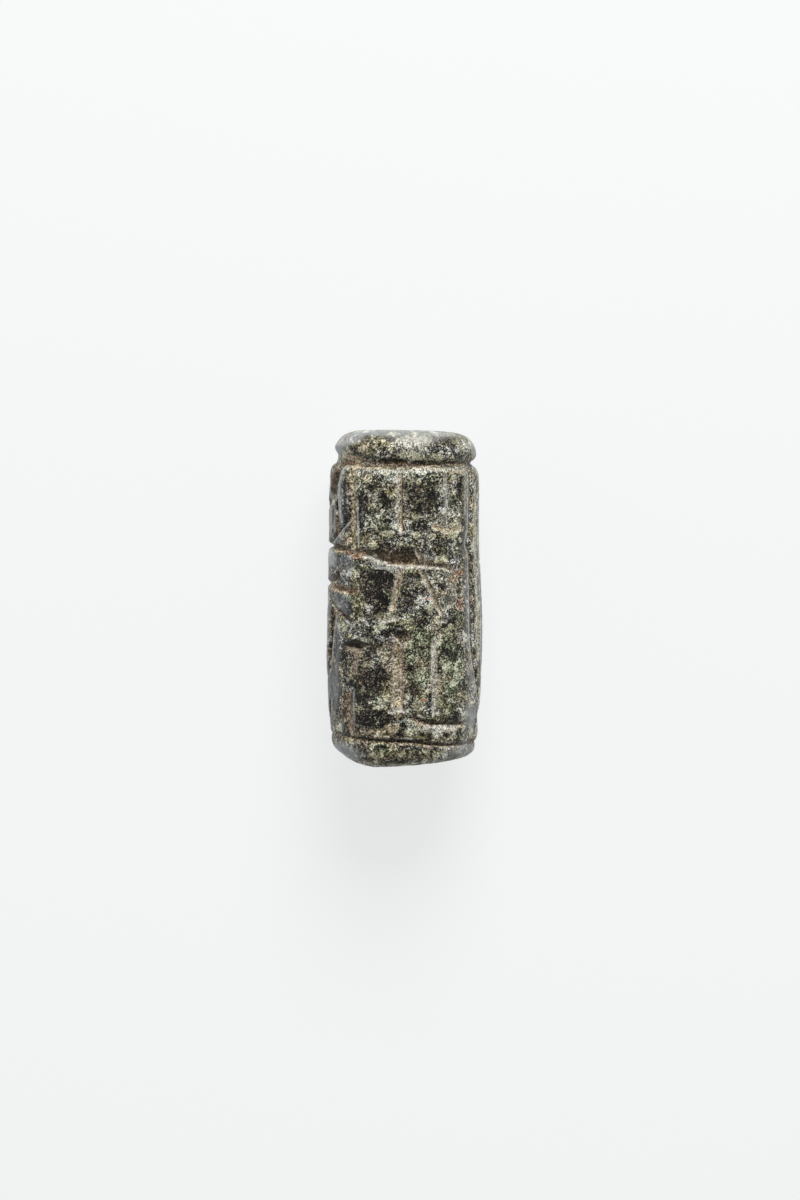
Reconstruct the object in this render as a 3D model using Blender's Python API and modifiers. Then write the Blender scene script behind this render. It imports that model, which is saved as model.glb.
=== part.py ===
# A carved stone cylinder seal, lying on its side on a small worn flat.
#
# It is modelled standing on end: its axis is local Z, and local -Y is the face that is seen from above once
# it lies. A parent empty then lays it down, so that its length runs along world Y, its top end is at +Y, and it
# rests on Z = 0. Places on the carved wall are (degrees, millimetres): degrees round from the upper face towards
# +X, and millimetres from the middle of the seal towards its top end.

import math

import bmesh
import bpy
import numpy as np
from mathutils import Matrix, Vector

MM = 0.001

# Driving sizes, in millimetres
LENGTH = 29.9
HALF = LENGTH / 2
BODY_RADIUS = 6.80
BELLY = 0.18
BELLY_MIDDLE = -4.0
BELLY_REACH = 8.5
FLAT_DEPTH = 0.25

# The bore is drilled from both ends, and the cord has worn its mouths
BORE_MOUTH_RADIUS = 2.15
BORE_RADIUS = 1.85
BORE_WAIST = 1.70
MOUTH_DEPTH = 1.2

# The rolls at the two ends, and the border grooves that part them from the carved wall
TOP_FACE_RADIUS = 4.3
TOP_CREST_RADIUS = 6.40
TOP_CREST = 13.15
TOP_GROOVE = 12.3
BOTTOM_GROOVE = -12.65
BOTTOM_CREST_RADIUS = 6.50
BOTTOM_CREST = -13.75
BOTTOM_FACE_RADIUS = 5.0
BOTTOM_RING_RADIUS = 3.4
ROLL_STEPS = 6

# Half section round the two grooves, as (in from the wall's radius, up from the groove): the roll's underside,
# the groove's floor and the shoulder of the wall
TOP_NECK = [(0.43, 0.55), (0.60, 0.30), (0.80, 0.08), (0.80, -0.10)]
TOP_SHOULDER = [(0.48, -0.30), (0.24, -0.55), (0.08, -0.95), (0.0, -1.60)]
BOTTOM_NECK = [(0.08, 1.20), (0.14, 0.25), (0.48, 0.0), (0.30, -0.25)]
WALL_RINGS = (8.5, 4.5, 1.5, -1.0, -4.0, -7.0, -9.5)

# The top groove widens towards -X: at each angle, how far the roll's underside lies above its place elsewhere
GROOVE_LIFT = [(-100, 0.25), (-84, 0.4), (-56, 0.5), (-46, 0.36), (-35, 0.17), (-20, 0.0)]
LIFT_FROM = 12.2
LIFT_FULL = 12.5
LIFT_GONE = 13.9
GROOVE_REACH = 5.5

# The ends were cut by hand: at each height, how far they rise for each millimetre towards +X, and how far
# they stand off the axis towards +X
LEANS = [(-14.9, 0.062), (-12.65, -0.03), (-10.5, 0.0), (10.5, 0.0), (12.3, -0.03), (14.9, -0.02)]
OFFSETS = [(-13.2, -0.08), (-12.5, 0.0), (12.2, 0.0), (12.9, 0.14)]

# The lower corner towards -X is worn rounder than the rest
WEAR_ANGLE = -84
WEAR_SPREAD = 60
WEAR_INWARD = 0.5
WEAR_UPWARD = 0.66
WEAR_EDGES = {"radius": (3.0, 5.8), "height": (-12.9, -14.8)}

# The top end rises towards the upper face, by this much for each millimetre
TOP_TILT = 0.08
TOP_TILT_HEIGHT = (12.9, 14.6)

TURN_STEPS = 60
SHARP_ANGLE = 35
CUTTER_LIFT = 0.14
STATION_DEGREES = 12.0
STATION_MM = 1.9

# A cut has this share of its full depth halfway down each side, and it runs out narrower and shallower
SIDE_SHARE = 0.75
END_WIDTH = 0.6
END_DEPTH = 0.35

# Lines that the carving is set out on
WALL_TOP = 11.9
GROUND = [(-112, 4.3), (-96, 4.6), (-79, 4.75), (-62, 4.65), (-50, 4.45), (-36, 4.2), (-26, 3.9), (-11, 3.45),
          (6, 3.3), (18, 3.35), (38, 3.1)]
ROBE_FRONT = [(62, WALL_TOP), (62, 9.1), (61, 6.4), (58, 5.2), (61, 4.1), (62, 0.6), (61, -2.8), (64, -4.9),
              (69, -6.8), (75, -8.7), (85, -9.9)]
ROBE_BACK = [(101, WALL_TOP), (105, 8.0), (107, 4.9), (107, 1.8), (108, -1.8), (111, -4.3), (116, -6.8),
             (124, -9.6)]
ROBE_BELT = 3.4
ROBE_HEM = -9.3
ROBE_FOLDS = [[(82, 2.2), (83, -3.0), (86, -8.0)], [(93, 2.2), (94, -3.0), (100, -8.0)]]
FRINGE_START = 87
FRINGE_STEP = 8
FRINGE_STROKES = 4
FRINGE_LENGTH = 1.3
PLANT = 146
PLANT_FOOT = -11.2
PLANT_TOP = 9.6
PLANT_LEAVES = 5
PLANT_BARE = 1.8
LEAF_REACH = 17
LEAF_NARROWING = 1.6
LEAF_RISE = 2.2
BUD_LENGTH = 2.1
PANEL_EDGES = (-168, -126)
PANEL_ROWS = 4
PANEL_STROKES = 3
PANEL_STROKE_LENGTH = 3.3
PANEL_SLANTS = (-2.0, 3.0)

# A stroke is (name, width, depth, route), with the sizes in millimetres
UPPER_STROKES = [
    ("left channel", 0.90, 0.24, [(-43.5, WALL_TOP), (-43, 8.5), (-42.5, 4.9)]),
    ("middle stroke", 0.78, 0.36, [(-4.3, WALL_TOP), (-4.3, 9.0), (-3.6, 6.2)]),
    ("broad stroke", 2.0, 0.24, [(42, WALL_TOP), (42, 9.0), (42, 6.7)]),
    ("broad foot", 0.55, 0.20, [(23, 6.75), (34, 6.4), (50, 6.45)]),
    ("wing hollow", 1.25, 0.68, [(-60, 12.2), (-63, 11.4), (-69, 10.3), (-78, 9.2), (-92, 8.3)]),
    ("feather outer", 0.36, 0.32, [(-71, 8.4), (-71, 7.2), (-70.5, 6.0)]),
    ("feather inner", 0.44, 0.28, [(-62, 9.0), (-62.5, 7.5), (-63, 5.7)]),
    ("wing edge", 0.42, 0.28, [(-45, 7.5), (-54, 6.6), (-66, 5.6), (-82, 4.95)]),
]
MIDDLE_STROKES = [
    ("left slant", 0.50, 0.32, [(-1.8, 3.0), (-3.8, 1.9), (-6.2, 0.6), (-10, -1.0)]),
    ("left slant foot", 0.48, 0.16, [(-18, -1.85), (-4, -1.5)]),
    ("right slant", 0.48, 0.32, [(9.5, 4.8), (12.5, 3.2), (17, 2.0), (21.5, 1.0), (25, -0.2), (29, -1.1)]),
    ("right slant foot", 0.36, 0.14, [(24.5, -1.85), (33, -1.85)]),
    ("notch", 0.60, 0.42, [(-58, 2.7), (-61, 2.1), (-70, 1.8), (-86, 1.6)]),
    ("back line", 0.66, 0.34, [(-104, 1.3), (-90, 1.15), (-57, 0.9), (-38, 0.7)]),
    ("haunch", 0.44, 0.34, [(-78, 0.1), (-67, -0.6), (-55, -1.3), (-45, -1.9)]),
]
LOWER_STROKES = [
    ("square channel", 0.62, 0.50, [(-66, -1.2), (-68, -2.9), (-70, -4.6), (-71.5, -6.2)]),
    ("wedge tail", 0.90, 0.26, [(-37.5, -4.7), (-39.5, -5.6), (-41, -6.4)]),
    ("short channel", 1.15, 0.28, [(-47.5, -8.5), (-47, -10.2), (-45.5, -12.0)]),
    ("left upright", 1.25, 0.26, [(-4.7, -3.6), (-5.2, -5.5), (-5.2, -8.0), (-5.2, -9.9)]),
    ("left upright head", 0.34, 0.18, [(-9, -2.95), (-5, -3.2), (-0.5, -3.9)]),
    ("left upright foot", 0.54, 0.16, [(-11, -9.95), (1.5, -9.85)]),
    ("right upright", 0.95, 0.22, [(22.5, -3.6), (22.5, -5.2), (23, -7.4)]),
    ("right upright tail", 0.34, 0.20, [(23, -7.2), (22.6, -10.4)]),
    ("lower line", 0.78, 0.40, [(9, -10.7), (16, -10.9), (28, -11.1), (39, -11.2), (53, -11.15)]),
    ("side pit", 0.50, 0.40, [(-77, -9.5), (-77.5, -10.5)]),
    ("right pit", 0.42, 0.34, [(76, -11.1), (79, -12.0)]),
]
BEAST_STROKES = [
    ("neck", 0.9, 0.50, [(-96, 3.0), (-101, 1.4), (-108, 0.2)]),
    ("body", 1.3, 0.55, [(-92, -0.9), (-104, -1.2), (-117, -0.8)]),
    ("near leg", 0.6, 0.40, [(-94, -1.6), (-95, -4.0), (-92, -6.2)]),
    ("far leg", 0.6, 0.40, [(-113, -1.4), (-113, -4.0), (-111, -6.2)]),
    ("tail", 0.4, 0.30, [(-116, -0.4), (-120, -1.6), (-119.5, -3.4)]),
    ("standing line", 0.6, 0.36, [(-120, -7.4), (-100, -7.6), (-84, -7.3)]),
    ("crescent", 0.7, 0.42, [(-113, 8.6), (-107, 7.4), (-98, 7.2), (-92, 8.4)]),
]


# Placing on the wall

def wall_radius(height):
    return BODY_RADIUS + BELLY * max(0.0, 1 - ((height - BELLY_MIDDLE) / BELLY_REACH) ** 2)


def radial(degrees):
    angle = math.radians(degrees)
    return Vector((math.sin(angle), -math.cos(angle), 0))


def wall_point(degrees, height, out=0.0):
    return radial(degrees) * (wall_radius(height) + out) + Vector((0, 0, height))


def smooth_route(route):
    """Places along a smooth curve through a stroke's own points, close enough to follow the round wall."""
    places = []
    for i in range(len(route) - 1):
        before = route[max(i - 1, 0)]
        start, end = route[i], route[i + 1]
        after = route[min(i + 2, len(route) - 1)]
        turn = abs(end[0] - start[0]) / STATION_DEGREES
        steps = max(1, math.ceil(max(turn, abs(end[1] - start[1]) / STATION_MM)))
        for step in range(steps):
            t = step / steps
            places.append(tuple(
                0.5 * (2 * b + (c - a) * t + (2 * a - 5 * b + 4 * c - d) * t ** 2
                       + (3 * b - a - 3 * c + d) * t ** 3)
                for a, b, c, d in zip(before, start, end, after)
            ))
    places.append(tuple(route[-1]))
    return places


# The turned blank

def arc(middle, half_size, start, end, steps):
    """Points on an ellipse about middle, in (radius, height), from one angle to another."""
    angles = [math.radians(start + (end - start) * i / steps) for i in range(steps + 1)]
    return [(middle[0] + half_size[0] * math.cos(a), middle[1] + half_size[1] * math.sin(a)) for a in angles]


def offset_from(radius, height, offsets):
    return [(radius - inward, height + up) for inward, up in offsets]


def blank_profile():
    """Half section of the blank, from the bore's top mouth down the outside and back up the bore."""
    top_roll = arc((TOP_FACE_RADIUS, TOP_CREST), (TOP_CREST_RADIUS - TOP_FACE_RADIUS, HALF - TOP_CREST),
                   90, 0, ROLL_STEPS)
    top_groove = offset_from(BODY_RADIUS, TOP_GROOVE, TOP_NECK + TOP_SHOULDER)
    wall = [(wall_radius(height), height) for height in WALL_RINGS]
    bottom_groove = offset_from(BODY_RADIUS, BOTTOM_GROOVE, BOTTOM_NECK)
    bottom_roll = arc((BOTTOM_FACE_RADIUS, BOTTOM_CREST),
                      (BOTTOM_CREST_RADIUS - BOTTOM_FACE_RADIUS, HALF + BOTTOM_CREST), 0, -90, ROLL_STEPS)
    bore = [(BOTTOM_RING_RADIUS, -HALF), (BORE_MOUTH_RADIUS, -HALF), (BORE_RADIUS, -HALF + MOUTH_DEPTH),
            (BORE_WAIST, 0.0), (BORE_RADIUS, HALF - MOUTH_DEPTH), (BORE_MOUTH_RADIUS, HALF)]
    return top_roll + top_groove + wall + bottom_groove + bottom_roll + bore


def turned_blank(collection):
    profile = bpy.data.meshes.new("blank profile")
    points = [Vector((radius, 0, height)) * MM for radius, height in blank_profile()]
    edges = [(i, (i + 1) % len(points)) for i in range(len(points))]
    profile.from_pydata(points, edges, [])
    blank = bpy.data.objects.new("seal", profile)
    collection.objects.link(blank)
    screw = blank.modifiers.new("turn", "SCREW")
    screw.axis = "Z"
    screw.steps = TURN_STEPS
    screw.render_steps = TURN_STEPS
    screw.use_merge_vertices = True
    screw.merge_threshold = 1e-6
    bpy.context.view_layer.update()
    turned = bpy.data.meshes.new_from_object(blank.evaluated_get(bpy.context.evaluated_depsgraph_get()))
    blank.modifiers.clear()
    blank.data = turned
    return blank


def share(value, start, end):
    """0 up to start and 1 from end on, with a smooth rise between them."""
    value = min(1.0, max(0.0, (value - start) / (end - start)))
    return value * value * (3 - 2 * value)


def read_between(place, stations):
    """The value at a place on a line through (place, value) stations."""
    return float(np.interp(place, *zip(*stations)))


def degrees_round(place):
    return math.degrees(math.atan2(place.x, -place.y))


def widen_groove(blank):
    """Raises the underside of the top roll towards -X, where the groove is a broad neck."""
    for vertex in blank.data.vertices:
        place = vertex.co / MM
        if math.hypot(place.x, place.y) > GROOVE_REACH:
            lift = share(place.z, LIFT_FROM, LIFT_FULL) * (1 - share(place.z, LIFT_FULL, LIFT_GONE))
            vertex.co.z += lift * read_between(degrees_round(place), GROOVE_LIFT) * MM


def wear_ends(blank):
    """Wears the lower corner towards -X rounder, and sets both ends a little off square and off the axis."""
    for vertex in blank.data.vertices:
        place = vertex.co / MM
        radius = math.hypot(place.x, place.y)
        off = abs((degrees_round(place) - WEAR_ANGLE + 180) % 360 - 180)
        wear = share(-off, -WEAR_SPREAD, 0) * share(radius, *WEAR_EDGES["radius"])
        wear *= share(place.z, *WEAR_EDGES["height"])
        inward = 1 - WEAR_INWARD * wear / radius
        place.x *= inward
        place.y *= inward
        height = place.z
        place.z += WEAR_UPWARD * wear + place.x * read_between(height, LEANS)
        place.z -= TOP_TILT * place.y * share(height, *TOP_TILT_HEIGHT)
        place.x += read_between(height, OFFSETS)
        vertex.co = place * MM


# Cutters

def blade(name, width, depth, route, collection):
    """A graver's cut that follows the round wall: a loft of V sections with a slightly rounded bottom."""
    places = smooth_route(route)
    bm = bmesh.new()
    rings = []
    for i, (degrees, height) in enumerate(places):
        ahead = wall_point(*places[min(i + 1, len(places) - 1)])
        behind = wall_point(*places[max(i - 1, 0)])
        along = (ahead - behind).normalized()
        out = radial(degrees)
        side = out.cross(along).normalized()
        end = i in (0, len(places) - 1)
        deep = depth * (END_DEPTH if end else 1.0)
        half = width / 2 * (END_WIDTH if end else 1.0)
        slope = SIDE_SHARE * deep / (half / 2)
        top = half + CUTTER_LIFT / slope
        section = [(top, CUTTER_LIFT), (half / 2, -SIDE_SHARE * deep), (0, -deep),
                   (-half / 2, -SIDE_SHARE * deep), (-top, CUTTER_LIFT)]
        base = wall_point(degrees, height)
        rings.append([bm.verts.new((base + side * across + out * up) * MM) for across, up in section])
    for first, second in zip(rings, rings[1:]):
        for j in range(len(first)):
            k = (j + 1) % len(first)
            bm.faces.new((first[j], first[k], second[k], second[j]))
    bm.faces.new(rings[0][::-1])
    bm.faces.new(rings[-1])
    bmesh.ops.recalc_face_normals(bm, faces=bm.faces)
    return add_cutter(name, bm, collection)


def wedge_head(name, place, half_width, height, depth, collection):
    """A three-sided pyramid pressed in point first, as a graver's wedge leaves it, point towards the foot."""
    degrees, along = place
    bm = bmesh.new()
    bmesh.ops.create_cone(bm, cap_ends=True, segments=3, radius1=1.0, radius2=0.0, depth=1.0)
    out = radial(degrees)
    round_wall = Vector((-out.y, out.x, 0))
    frame = Matrix((round_wall, Vector((0, 0, 1)), out)).transposed().to_4x4()
    frame.translation = wall_point(degrees, along)
    size = Matrix.Diagonal((half_width / math.cos(math.radians(30)), height, -(depth + CUTTER_LIFT), 1))
    lift = Matrix.Translation((0, 0, (CUTTER_LIFT - depth) / 2))
    turn = Matrix.Rotation(math.radians(180), 4, "Z")
    bmesh.ops.transform(bm, matrix=Matrix.Scale(MM, 4) @ frame @ lift @ size @ turn, verts=bm.verts)
    bmesh.ops.recalc_face_normals(bm, faces=bm.faces)
    return add_cutter(name, bm, collection)


def add_cutter(name, bm, collection):
    mesh = bpy.data.meshes.new(name)
    bm.to_mesh(mesh)
    bm.free()
    cutter = bpy.data.objects.new("cut " + name, mesh)
    cutter.display_type = "WIRE"
    cutter.hide_render = True
    collection.objects.link(cutter)
    return cutter


def robe_strokes():
    """A plain robe on the hidden side: its front and back edges, a belt, folds, a hem and a fringe."""
    strokes = [
        ("robe front", 0.80, 0.44, ROBE_FRONT),
        ("robe back", 0.60, 0.40, ROBE_BACK),
        ("robe belt", 0.46, 0.32, [(74, ROBE_BELT), (87, ROBE_BELT - 0.25), (101, ROBE_BELT)]),
        ("robe hem", 0.50, 0.34, [(86, ROBE_HEM), (100, ROBE_HEM - 0.1), (116, ROBE_HEM + 0.1)]),
    ]
    for i, fold in enumerate(ROBE_FOLDS):
        strokes.append((f"robe fold {i}", 0.40, 0.28, fold))
    for i in range(FRINGE_STROKES):
        at = FRINGE_START + FRINGE_STEP * i
        top = ROBE_HEM - 0.8
        strokes.append((f"fringe {i}", 0.36, 0.26, [(at, top), (at, top - FRINGE_LENGTH)]))
    return strokes


def plant_strokes():
    """A plain upright plant: a stem with pairs of rising leaves and a bud."""
    neck = PLANT_TOP - BUD_LENGTH / 2
    strokes = [("stem", 0.5, 0.36, [(PLANT, PLANT_FOOT), (PLANT, neck - 0.6)])]
    gap = (PLANT_TOP - PLANT_FOOT - PLANT_BARE - LEAF_RISE) / PLANT_LEAVES
    for i in range(PLANT_LEAVES):
        low = PLANT_FOOT + PLANT_BARE + gap * i
        reach = LEAF_REACH - LEAF_NARROWING * i
        for side in (-1, 1):
            root = (PLANT + 0.2 * reach * side, low)
            bend = (PLANT + 0.6 * reach * side, low + 0.4 * LEAF_RISE)
            tip = (PLANT + reach * side, low + LEAF_RISE)
            strokes.append((f"leaf {i} {side}", 0.5, 0.32, [root, bend, tip]))
    strokes.append(("bud", 0.9, 0.42, [(PLANT, neck), (PLANT, neck + BUD_LENGTH)]))
    return strokes


def panel_strokes():
    """Two upright rulings with rows of short strokes between them."""
    left, right = PANEL_EDGES
    strokes = [(f"ruling {edge}", 0.4, 0.30, [(edge, WALL_TOP), (edge, -11.8)]) for edge in PANEL_EDGES]
    row_height = 2 * WALL_TOP / PANEL_ROWS
    for row in range(PANEL_ROWS):
        middle = WALL_TOP - row_height * (row + 0.5)
        for i in range(PANEL_STROKES):
            at = left + (right - left) * (i + 1) / (PANEL_STROKES + 1)
            slant = PANEL_SLANTS[(row + i) % 2]
            route = [(at, middle + PANEL_STROKE_LENGTH / 2), (at + slant, middle - PANEL_STROKE_LENGTH / 2)]
            strokes.append((f"short {row} {i}", 0.56, 0.30, route))
    return strokes


def carve(blank, collection):
    lists = [[("ground line", 0.88, 0.48, GROUND)], UPPER_STROKES, MIDDLE_STROKES, LOWER_STROKES,
             BEAST_STROKES, robe_strokes(), plant_strokes(), panel_strokes()]
    for strokes in lists:
        for name, width, depth, route in strokes:
            blade(name, width, depth, route, collection)
    wedge_head("wedge head", (-38, -4.05), 1.55, 0.95, 0.55, collection)
    boolean = blank.modifiers.new("carving", "BOOLEAN")
    boolean.operation = "DIFFERENCE"
    boolean.operand_type = "COLLECTION"
    boolean.collection = collection
    boolean.solver = "EXACT"


def flatten(blank, collection):
    """Takes off the small flat that the seal rests on: a slab against the wall opposite the upper face."""
    bm = bmesh.new()
    bmesh.ops.create_cube(bm, size=2 * LENGTH * MM)
    slab = add_cutter("flat", bm, collection)
    slab.location.y = (flat_distance() + LENGTH) * MM
    boolean = blank.modifiers.new("flat", "BOOLEAN")
    boolean.operation = "DIFFERENCE"
    boolean.object = slab
    boolean.solver = "EXACT"
    return slab


def flat_distance():
    return BODY_RADIUS + BELLY - FLAT_DEPTH


def stone():
    material = bpy.data.materials.new("dark green stone")
    material.use_nodes = True
    shader = material.node_tree.nodes["Principled BSDF"]
    shader.inputs["Base Color"].default_value = (0.105, 0.103, 0.075, 1)
    shader.inputs["Roughness"].default_value = 0.45
    shader.inputs["Metallic"].default_value = 0.0
    return material


def main():
    for obj in list(bpy.data.objects):
        bpy.data.objects.remove(obj)
    parts = bpy.data.collections.new("cylinder seal")
    cuts = bpy.data.collections.new("carving cutters")
    flats = bpy.data.collections.new("flat cutter")
    for collection in (parts, cuts, flats):
        bpy.context.scene.collection.children.link(collection)
    lying = bpy.data.objects.new("lying", None)
    parts.objects.link(lying)
    seal = turned_blank(parts)
    widen_groove(seal)
    wear_ends(seal)
    carve(seal, cuts)
    flatten(seal, flats)
    seal.data.materials.append(stone())
    for obj in [seal, *cuts.objects, *flats.objects]:
        obj.parent = lying
    lying.rotation_euler.x = math.radians(-90)
    lying.location.z = flat_distance() * MM
    seal.data.shade_smooth()
    seal.data.set_sharp_from_angle(angle=math.radians(SHARP_ANGLE))


main()
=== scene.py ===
import math

import bpy
import numpy as np
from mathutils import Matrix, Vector, noise


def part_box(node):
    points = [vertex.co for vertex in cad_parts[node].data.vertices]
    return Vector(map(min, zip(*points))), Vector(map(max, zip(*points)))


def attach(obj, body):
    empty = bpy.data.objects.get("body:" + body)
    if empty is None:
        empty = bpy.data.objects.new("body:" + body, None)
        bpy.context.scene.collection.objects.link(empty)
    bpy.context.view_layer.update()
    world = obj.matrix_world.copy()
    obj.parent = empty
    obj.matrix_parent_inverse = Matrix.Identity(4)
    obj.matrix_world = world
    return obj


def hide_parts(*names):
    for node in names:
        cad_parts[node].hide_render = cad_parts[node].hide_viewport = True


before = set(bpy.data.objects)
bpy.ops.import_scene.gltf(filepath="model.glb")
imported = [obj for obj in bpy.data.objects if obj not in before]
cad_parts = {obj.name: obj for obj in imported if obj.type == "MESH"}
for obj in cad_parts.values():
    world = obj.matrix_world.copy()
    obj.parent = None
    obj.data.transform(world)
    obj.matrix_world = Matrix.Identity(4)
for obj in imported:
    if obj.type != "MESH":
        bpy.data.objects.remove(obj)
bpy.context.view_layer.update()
sealLow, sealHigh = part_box("seal")
print("Frame loaded, seal box", [round((b - a) * 1000, 2) for a, b in zip(sealLow, sealHigh)], "mm")


# Form of the seal. Sizes are in millimetres and are scaled to the frame's own width.
# Along the seal they count from its middle to its top end; round it, in degrees from the upper face towards +X.
sealForm = {
    "bellyRadius": 6.98, "wallRadius": 6.80, "bellyMiddle": -4.0, "bellyReach": 8.5,
    "halfLength": 14.95,
    "topFaceRadius": 4.3, "topCrestRadius": 6.40, "topCrest": 13.15,
    "topGroove": 12.3, "topGrooveRadius": 6.0,
    "bottomGroove": -12.65, "bottomShoulder": 6.56,
    "bottomCrestRadius": 6.50, "bottomCrest": -13.75, "bottomFaceRadius": 5.0,
    "boreMouth": 2.15, "boreRadius": 1.85, "boreWaist": 1.70, "mouthDepth": 1.2, "mouthRound": 0.22,
    "leans": [(-14.9, 0.062), (-12.65, -0.03), (-10.5, 0.0), (10.5, 0.0), (12.3, -0.03), (14.9, -0.02)],
    "offsets": [(-13.2, -0.08), (-12.5, 0.0), (12.2, 0.0), (12.9, 0.14)],
    "wearAngle": -84, "wearSpread": 60, "wearInward": 0.5, "wearUpward": 0.66,
    "wearRadius": (3.0, 5.8), "wearHeight": (-12.9, -14.8), "topTilt": 0.08, "topTiltHeight": (12.9, 14.6),
    "grooveLift": [(-100, 0.25), (-84, 0.4), (-56, 0.5), (-46, 0.36), (-35, 0.17), (-20, 0.0), (180, 0.0)],
    "liftFades": (12.9, 13.9), "liftFrom": 5.5,
    "around": 312, "frontCrowding": 0.45, "sideCrowding": 0.1,      # steps round, finer on the upper face
    "ringSpacing": 0.118, "faceSpacing": 0.25, "boreRings": 14, "softening": 2,
}
mm = (sealHigh.x - sealLow.x) / 2 / sealForm["bellyRadius"]
axisHeight = sealHigh.z - sealForm["bellyRadius"] * mm


def deselectAll():
    if bpy.context.mode != "OBJECT":
        bpy.ops.object.mode_set(mode="OBJECT")
    bpy.ops.object.select_all(action="DESELECT")


def smoothStep(values, start, end):
    share = np.clip((np.asarray(values, float) - start) / (end - start), 0, 1)
    return share * share * (3 - 2 * share)


def arcPoints(middle, halfSize, start, end, steps):
    angles = np.radians(np.linspace(start, end, steps + 1))
    return [(middle[0] + halfSize[0] * math.cos(a), middle[1] + halfSize[1] * math.sin(a)) for a in angles]


def wallRadiusAt(height):
    f = sealForm
    bulge = 1 - ((height - f["bellyMiddle"]) / f["bellyReach"]) ** 2
    return f["wallRadius"] + (f["bellyRadius"] - f["wallRadius"]) * max(0.0, bulge)


def outerOutline():         # (radius, height) from the top bore mouth down the outside to the bottom bore mouth
    f = sealForm
    half, wall, groove, low = f["halfLength"], f["wallRadius"], f["topGroove"], f["bottomGroove"]
    points = [(f["boreMouth"] + f["mouthRound"], half)]
    points += arcPoints((f["topFaceRadius"], f["topCrest"]),
                        (f["topCrestRadius"] - f["topFaceRadius"], half - f["topCrest"]), 90, 0, 16)
    points += [(f["topCrestRadius"] - 0.03, f["topCrest"] - 0.3), (f["topCrestRadius"] - 0.2, groove + 0.3),
               (f["topGrooveRadius"], groove + 0.08), (f["topGrooveRadius"], groove - 0.1),
               (wall - 0.48, groove - 0.3), (wall - 0.24, groove - 0.55), (wall - 0.08, groove - 0.95)]
    points += [(wallRadiusAt(height), height) for height in np.linspace(groove - 1.6, -10.0, 24)]
    points += [(wall - 0.08, low + 1.2), (wall - 0.14, low + 0.3), (f["bottomShoulder"], low),
               (f["bottomCrestRadius"], low - 0.3)]
    points += arcPoints((f["bottomFaceRadius"], f["bottomCrest"]),
                        (f["bottomCrestRadius"] - f["bottomFaceRadius"], half + f["bottomCrest"]), 0, -90, 12)
    points += [(f["boreMouth"] + f["mouthRound"], -half)]
    return points


def boreOutline():          # back up the inside, with rounded mouths
    f = sealForm
    half, inner = f["halfLength"], f["boreMouth"]
    mouth = [(inner + 0.06, -half + 0.06), (inner, -half + f["mouthRound"])]
    wall = [(f["boreRadius"], -half + f["mouthDepth"])]
    heights = np.linspace(-half + f["mouthDepth"], half - f["mouthDepth"], f["boreRings"])[1:-1]
    wall += [(f["boreRadius"] - (f["boreRadius"] - f["boreWaist"]) * (1 - abs(h) / half), h) for h in heights]
    wall += [(f["boreRadius"], half - f["mouthDepth"])]
    return mouth + wall + [(r, -h) for r, h in reversed(mouth)]


def respaced(points):       # even spacing along an outline, wider on the end faces, its corners a little worn
    points = np.array(points, float)
    lengths = np.hypot(*np.diff(points, axis=0).T) / sealForm["ringSpacing"]
    lengths[[0, -1]] *= sealForm["ringSpacing"] / sealForm["faceSpacing"]
    gone = np.concatenate([[0], np.cumsum(lengths)])
    stations = np.linspace(0, gone[-1], round(gone[-1]) + 1)
    even = np.stack([np.interp(stations, gone, column) for column in points.T], axis=1)
    for _ in range(sealForm["softening"]):
        even[1:-1] = 0.25 * even[:-2] + 0.5 * even[1:-1] + 0.25 * even[2:]
    return even


def makeBlank():            # the half section is spun round the seal's axis
    outline = np.vstack([respaced(outerOutline()), boreOutline()])
    deselectAll()
    bpy.ops.mesh.primitive_circle_add(vertices=len(outline), radius=mm)
    blank = bpy.context.object
    blank.name = "carvedSeal"
    places = np.zeros((len(outline), 3))
    places[:, 1] = outline[:, 1] * mm
    places[:, 2] = outline[:, 0] * mm + axisHeight
    blank.data.vertices.foreach_set("co", places.ravel())
    bpy.ops.object.mode_set(mode="EDIT")
    bpy.ops.mesh.select_all(action="SELECT")
    bpy.ops.mesh.spin(steps=sealForm["around"], angle=2 * math.pi, center=(0, 0, axisHeight), axis=(0, 1, 0))
    bpy.ops.mesh.select_all(action="SELECT")
    bpy.ops.mesh.remove_doubles(threshold=1e-7)
    bpy.ops.mesh.normals_make_consistent(inside=False)
    bpy.ops.object.mode_set(mode="OBJECT")
    bpy.ops.object.shade_smooth()
    return blank


def readPlaces(piece):
    places = np.empty(len(piece.data.vertices) * 3)
    piece.data.vertices.foreach_get("co", places)
    return places.reshape(-1, 3)


def writePlaces(piece, places):
    piece.data.vertices.foreach_set("co", np.asarray(places, float).ravel())
    piece.data.update()


def roundCoordinates(places):       # degrees from the upper face, and radius and height in millimetres
    across, upward = places[:, 0] / mm, (places[:, 2] - axisHeight) / mm
    return np.degrees(np.arctan2(across, upward)), np.hypot(across, upward), places[:, 1] / mm


def crowdTowardsFront(piece):       # finer steps on the upper face, wider ones underneath
    degrees, radius, height = roundCoordinates(readPlaces(piece))
    angle = np.radians(degrees)
    angle = angle - sealForm["frontCrowding"] * np.sin(angle) + sealForm["sideCrowding"] / 2 * np.sin(2 * angle)
    writePlaces(piece, np.stack([radius * np.sin(angle) * mm, height * mm,
                                 radius * np.cos(angle) * mm + axisHeight], axis=1))


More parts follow.
